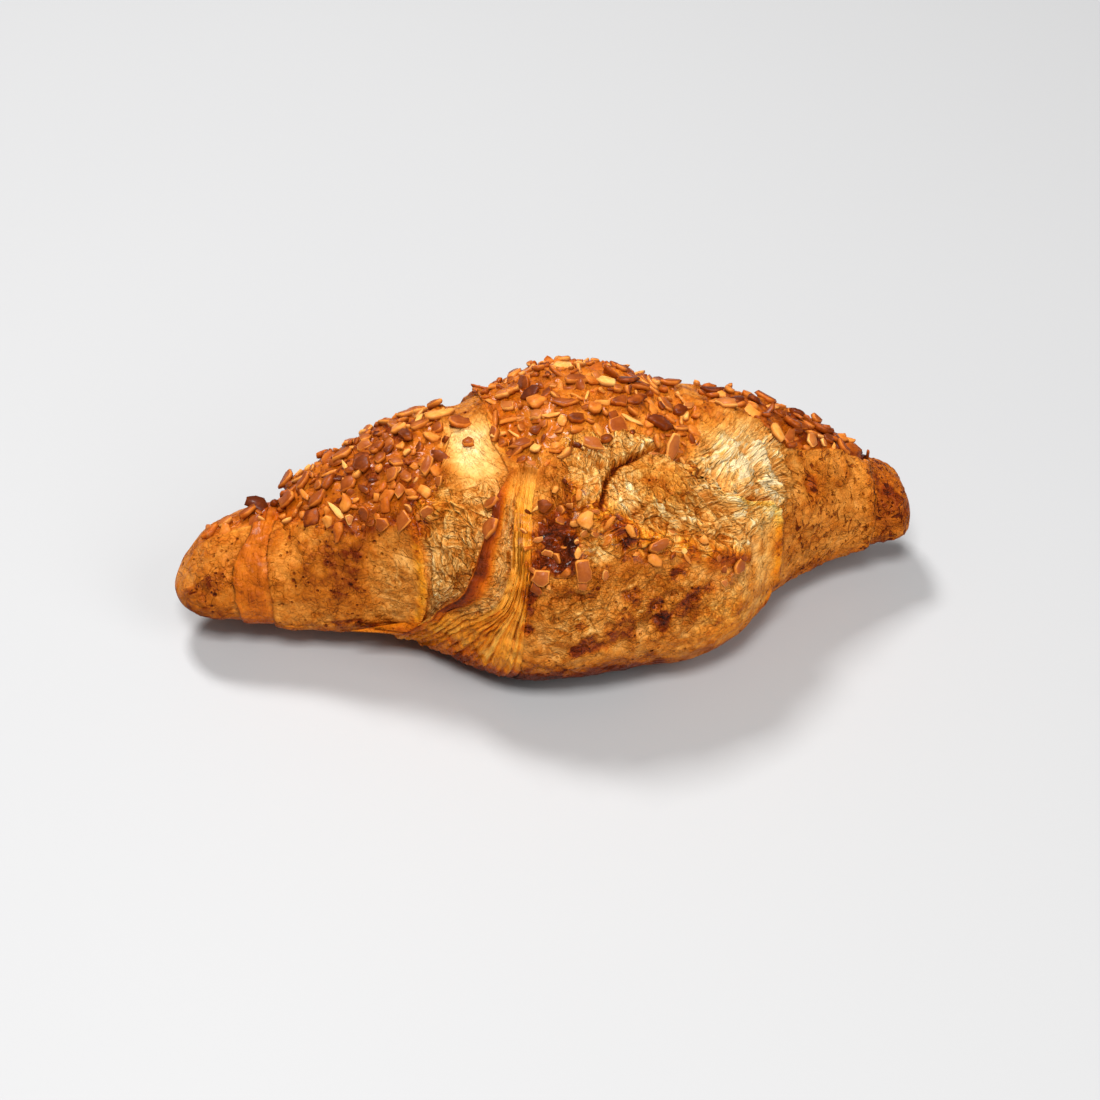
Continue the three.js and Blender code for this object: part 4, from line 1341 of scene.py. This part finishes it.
# %% Crust material
def make_crust():
    """Colour, gloss and relief are each a sum of patterns, and every pattern is multiplied by the mask of the
    zone where it shows and by its strength. Some of the colour's patterns are painted shade and painted
    highlight, which follow the shards, creases, cracks, fibres and hollows."""
    material, tree, shader = new_material("baked_crust")

    def times(*values):
        """Product of values."""
        product = values[0]
        for value in values[1:]:
            product = calculate(tree, "MULTIPLY", product, value)
        return product

    def total(*values):
        """Sum of values."""
        result = values[0]
        for value in values[1:]:
            result = calculate(tree, "ADD", result, value)
        return result

    def sum_of(*terms):
        """Sum of products: each term lists the values to multiply."""
        return total(*(times(*term) for term in terms))

    def around_zero(value):
        """A value from 0 to 1, moved down by one half."""
        return calculate(tree, "SUBTRACT", value, 0.5)

    place = add_node(tree, "ShaderNodeTexCoord").outputs["Object"]
    unrolled_place = add_node(tree, "ShaderNodeUVMap", uv_map="unrolled").outputs["UV"]
    mask = {name: attribute(tree, name) for name in MASKS}

    # Noises, specks and shards, by size
    marbling = noise(tree, place, 330.0)
    blotches = noise(tree, place, 200.0, 2.5)
    swells = noise(tree, place, 330.0, 0.5)
    grains = noise(tree, place, 900.0, 3.0, 0.65)
    dots = use_group(tree, specks, vector=place, scale=620.0, size=0.26, share=0.3)["Mask"]
    pits = use_group(tree, specks, vector=place, scale=300.0, size=0.2, share=0.22)["Mask"]
    plates = use_group(tree, shards, vector=place, scale=400.0, wobble=0.0034)
    flakes = use_group(tree, shards, vector=place, scale=390.0, wobble=0.0015)
    small_plates = use_group(tree, shards, vector=place, scale=850.0, wobble=0.0016)
    combs = use_group(tree, shards, vector=unrolled_place, scale=66.0, wobble=0.009)
    fine_combs = use_group(tree, shards, vector=unrolled_place, scale=125.0, wobble=0.005)
    strands = use_group(tree, fibres, vector=unrolled_place, scale=135.0, stretch=0.2)["Height"]

    # Fine lines along the layers, slanted on the right, and worm-like ridges on the horns
    slant = times(calculate(tree, "GREATER_THAN", mask["combed"], 0.01), 0.35)
    drawn = vectors(tree, "MULTIPLY", turned_flat(tree, unrolled_place, slant), (1.0, 0.06, 1.0))
    striae_noise = noise(tree, drawn, 170.0, 3.0, 0.6)
    upright = vectors(tree, "MULTIPLY", unrolled_place, (1.0, 0.42, 1.0))
    worms = times(remap(tree, noise(tree, upright, 210.0, 2.5, 0.6, 0.8), 0.58, 0.66), mask["squiggle"])

    # Where each of them shows
    skin = remap(tree, mask["rough"], 0.0, 1.0, 0.15, 1.0)
    skin_dots = times(calculate(tree, "MAXIMUM", dots, pits), skin)
    half_skin = remap(tree, mask["rough"], 0.0, 1.0, 0.5, 1.0)
    creases = times(plates["Crease"], half_skin, remap(tree, blotches, 0.42, 0.58))
    pale_share = remap(tree, mask["pale"], 0.05, 0.45)
    flaky = sum_of((skin, 0.14), (mask["pocked"], 0.25))
    torn = sum_of((skin, 0.18), (pale_share, 0.8), (mask["pocked"], 0.35))
    fibrous = sum_of((skin, 0.08), (pale_share, 0.8), (mask["pocked"], 0.14))
    # Painted light in this sum: the Lean terms paint shade and light on the two sides of each tilted plate,
    # the Crease terms and creases paint shade in the creases, and the Fibre and strands terms with negative
    # strength paint highlights along crests.
    level = sum_of(
        (mask["bake"],),
        (around_zero(blotches), 0.26),
        (around_zero(remap(tree, marbling, 0.4, 0.62)), remap(tree, mask["rough"], 0.0, 1.0, 0.03, 0.08)),
        (around_zero(grains), 0.03),
        # painted shade and light on tilted plates, and painted shade in their creases
        (combs["Lean"], torn, 0.4),
        (combs["Crease"], torn, 0.1),
        (around_zero(combs["Tone"]), torn, 0.12),
        # painted highlights along the fibres
        (around_zero(combs["Fibre"]), fibrous, -0.2),
        (remap(tree, combs["Fibre"], 0.55, 0.9), fibrous, -0.12),
        # painted shade in fine creases and painted highlights along fine fibres
        (fine_combs["Crease"], torn, 0.05),
        (around_zero(fine_combs["Fibre"]), fibrous, -0.1),
        (skin_dots, 0.2),
        # painted shade and light on tilted flakes, and painted shade in their creases
        (flakes["Lean"], flaky, 0.55),
        (flakes["Crease"], flaky, 0.12),
        (around_zero(flakes["Tone"]), flaky, 0.08),
        # painted shade and light on tilted small plates, and painted shade in the creases
        (small_plates["Lean"], flaky, 0.2),
        (creases, skin, 0.06),
        (worms, 0.2),
        # painted highlights along the strands
        (strands, pale_share, -0.08),
        (around_zero(striae_noise), sum_of((mask["layered"], 0.3), (mask["combed"], 0.26))),
        # painted shade in the cracks between layers
        (mask["shaded_crack"], 0.32))
    colour = use_group(tree, bake_colour, level=level, orange=mask["orange"])["Color"]
    # Painted shade: where the hollow mask is high, the colour is multiplied by a warm brown.
    shaded = mix_colour(tree, times(mask["hollow_shade"], 0.45), colour, linear(200, 116, 60), "MULTIPLY")
    tree.links.new(shaded, shader.inputs["Base Color"])

    roughness = total(remap(tree, mask["glaze"], 0.0, 1.0, 0.5, 0.34), times(around_zero(blotches), 0.3))
    tree.links.new(roughness, shader.inputs["Roughness"])
    tree.links.new(remap(tree, mask["glaze"], 0.1, 1.0, 0.0, 0.2), shader.inputs["Coat Weight"])
    shader.inputs["Coat Roughness"].default_value = 0.18
    shader.inputs["IOR"].default_value = 1.45
    shader.inputs["Specular IOR Level"].default_value = 0.1

    # A height of 1 in this sum stands for the bump node's distance of 1.5 mm.
    relief = sum_of(
        (combs["Lean"], torn, 2.8),
        (combs["Crease"], torn, -0.5),
        (combs["Fibre"], fibrous, 0.36),
        (fine_combs["Lean"], torn, 0.5),
        (fine_combs["Fibre"], fibrous, 0.15),
        (flakes["Lean"], flaky, 2.6),
        (flakes["Crease"], flaky, -0.3),
        (small_plates["Lean"], flaky, 0.6),
        (small_plates["Crease"], flaky, -0.4),
        (creases, -0.18),
        (grains, 0.08),
        (swells, 1.2),
        (blotches, 0.5),
        (skin_dots, -0.45),
        (worms, -0.5),
        (strands, remap(tree, mask["pale"], 0.0, 0.4, 0.05, 0.4)),
        (striae_noise, total(mask["layered"], mask["combed"]), 0.6),
        (mask["shaded_crack"], -0.5))
    bump = add_node(tree, "ShaderNodeBump", {"Strength": 1.0, "Distance": 0.0015, "Height": relief})
    tree.links.new(bump.outputs["Normal"], shader.inputs["Normal"])
    return material


pastry.data.materials.append(make_crust())

# %% [markdown]
# ### The almonds
# A chip's skin side is red-brown and finely ribbed, and its broken sides are tan to yellow, with painted
# shade on their lower part where the chip sits in the crust, and a thin glaze over all.


# %% Almond material
def make_almond():
    """Colour follows the chip's tone plus stains, by one ramp for flesh and one for peel, with painted shade
    darkening the lower rings.
    """
    material, tree, shader = new_material("toasted_almond")
    place = add_node(tree, "ShaderNodeTexCoord").outputs["Object"]
    shade, skin, underside = (attribute(tree, name) for name in ("shade", "skin", "underside"))
    stains = noise(tree, place, 420.0, 4.0, 0.6)
    ribs = noise(tree, place, 1500.0, 3.0, 0.7)
    spread = calculate(tree, "MULTIPLY", calculate(tree, "SUBTRACT", stains, 0.5), 0.7)
    tone = calculate(tree, "ADD", shade, spread)
    flesh = colour_ramp(tree, tone, [
        (0.0, (250, 206, 122)), (0.25, (238, 166, 80)), (0.5, (218, 130, 46)), (0.75, (182, 88, 18)),
        (1.0, (104, 38, 2))])
    peel = colour_ramp(tree, tone, [
        (0.0, (200, 120, 56)), (0.35, (176, 94, 36)), (0.65, (144, 66, 18)), (1.0, (88, 32, 4))])
    sides = mix_colour(tree, remap(tree, skin, 0.35, 0.75), flesh, peel)
    # Painted shade: the lower rings of each chip are mixed towards a dark brown.
    sides_with_painted_shade = mix_colour(tree, calculate(tree, "MULTIPLY", underside, 0.7), sides, linear(126, 50, 4))
    tree.links.new(sides_with_painted_shade, shader.inputs["Base Color"])
    tree.links.new(remap(tree, ribs, 0.3, 0.7, 0.34, 0.52), shader.inputs["Roughness"])
    tree.links.new(remap(tree, stains, 0.35, 0.65, 0.0, 0.18), shader.inputs["Coat Weight"])
    shader.inputs["Coat Roughness"].default_value = 0.22
    shader.inputs["Specular IOR Level"].default_value = 0.1
    relief = calculate(tree, "ADD", calculate(tree, "MULTIPLY", ribs, 0.6), stains)
    bump = add_node(tree, "ShaderNodeBump", {"Strength": 0.5, "Distance": 0.0004, "Height": relief})
    tree.links.new(bump.outputs["Normal"], shader.inputs["Normal"])
    return material


almond_finish = make_almond()
for piece in [*nib_pieces, *large_pieces]:
    piece.data.materials.append(almond_finish)

# %% [markdown]
# ## Floor, light and camera
# A plain pale floor carries the croissant. The light is that of a bright kitchen: a window above
# and behind, a lamp above the front, and a wide, lower one on the right that fills the shadows.


# %% Floor
def make_floor():
    """A flat square grid with a faintly clouded, matt finish."""
    size, segments = 3.0, 24
    ticks = np.linspace(-size, size, segments + 1)
    grid_x, grid_y = np.meshgrid(ticks, ticks)
    points = np.stack([grid_x, grid_y, 0 * grid_x], -1).reshape(-1, 3)
    ids = np.arange(points.shape[0]).reshape(segments + 1, segments + 1)
    faces = np.stack([ids[:-1, :-1], ids[:-1, 1:], ids[1:, 1:], ids[1:, :-1]], -1).reshape(-1, 4)
    mesh = bpy.data.meshes.new("floor")
    mesh.from_pydata(points.tolist(), [], faces.tolist())
    floor = bpy.data.objects.new("floor", mesh)
    bpy.context.scene.collection.objects.link(floor)
    material, tree, shader = new_material("pale_floor")
    place = add_node(tree, "ShaderNodeTexCoord").outputs["Object"]
    tone = mix_colour(tree, noise(tree, place, 3.0), linear(178, 178, 179), linear(182, 182, 182))
    tree.links.new(tone, shader.inputs["Base Color"])
    shader.inputs["Roughness"].default_value = 0.6
    mesh.materials.append(material)


make_floor()


# %% [markdown]
# Lamps and the camera all stand somewhere round the croissant and look at it. An azimuth, an
# elevation and a distance say where, as a photographer would.

# %% Lights
def look_from(holder, azimuth, elevation, distance, target):
    """Put a lamp or camera at an azimuth (0 in front, 90 on the right) and an elevation, in degrees,
    and turn it towards the target."""
    a, e = math.radians(azimuth), math.radians(elevation)
    direction = np.array([math.sin(a) * math.cos(e), -math.cos(a) * math.cos(e), math.sin(e)])
    holder.location = target + direction * distance
    holder.rotation_euler = (math.radians(90) - e, 0, a)
    bpy.context.scene.collection.objects.link(holder)


# Name: azimuth, elevation, distance in metres, side of the square in metres, watts.
LAMPS = {
    "window": (200, 58, 1.3, 0.3, 15.0), "room": (-16, 58, 1.4, 0.4, 17.0), "side": (40, 34, 1.5, 0.8, 9.0)}
LAMP_TARGET = np.array([0, 0, 0.03])
for name, (azimuth, elevation, distance, size, power) in LAMPS.items():
    lamp = bpy.data.lights.new(name, "AREA")
    lamp.size, lamp.energy = size, power
    look_from(bpy.data.objects.new(name, lamp), azimuth, elevation, distance, LAMP_TARGET)
    print(name, "lamp of", power, "watts")
world = bpy.data.worlds.new("bright_room")
world.use_nodes = True
world.node_tree.nodes["Background"].inputs["Color"].default_value = (1.0, 1.0, 1.0, 1.0)
world.node_tree.nodes["Background"].inputs["Strength"].default_value = 0.16
bpy.context.scene.world = world
bpy.context.scene.view_settings.view_transform = "Standard"

# %% [markdown]
# The camera stands a little to the left and looks down, through a lens long enough that the far
# horn is hardly smaller than the near one.

# %% Camera
CAMERA_AZIMUTH, CAMERA_ELEVATION = -10.0, 38.0
CAMERA_DISTANCE = 716.0  # mm from the point it looks at
CAMERA_TARGET = np.array([1.5, 0.0, 17.0])  # in the crust's own mm
camera_data = bpy.data.cameras.new("camera")
camera_data.lens = 91.6
camera_data.sensor_width = 36.0
camera = bpy.data.objects.new("camera", camera_data)
look_from(camera, CAMERA_AZIMUTH, CAMERA_ELEVATION, CAMERA_DISTANCE * MM, (CAMERA_TARGET + shift) * MM)
bpy.context.scene.camera = camera
print("camera at", [round(c, 3) for c in camera.location])
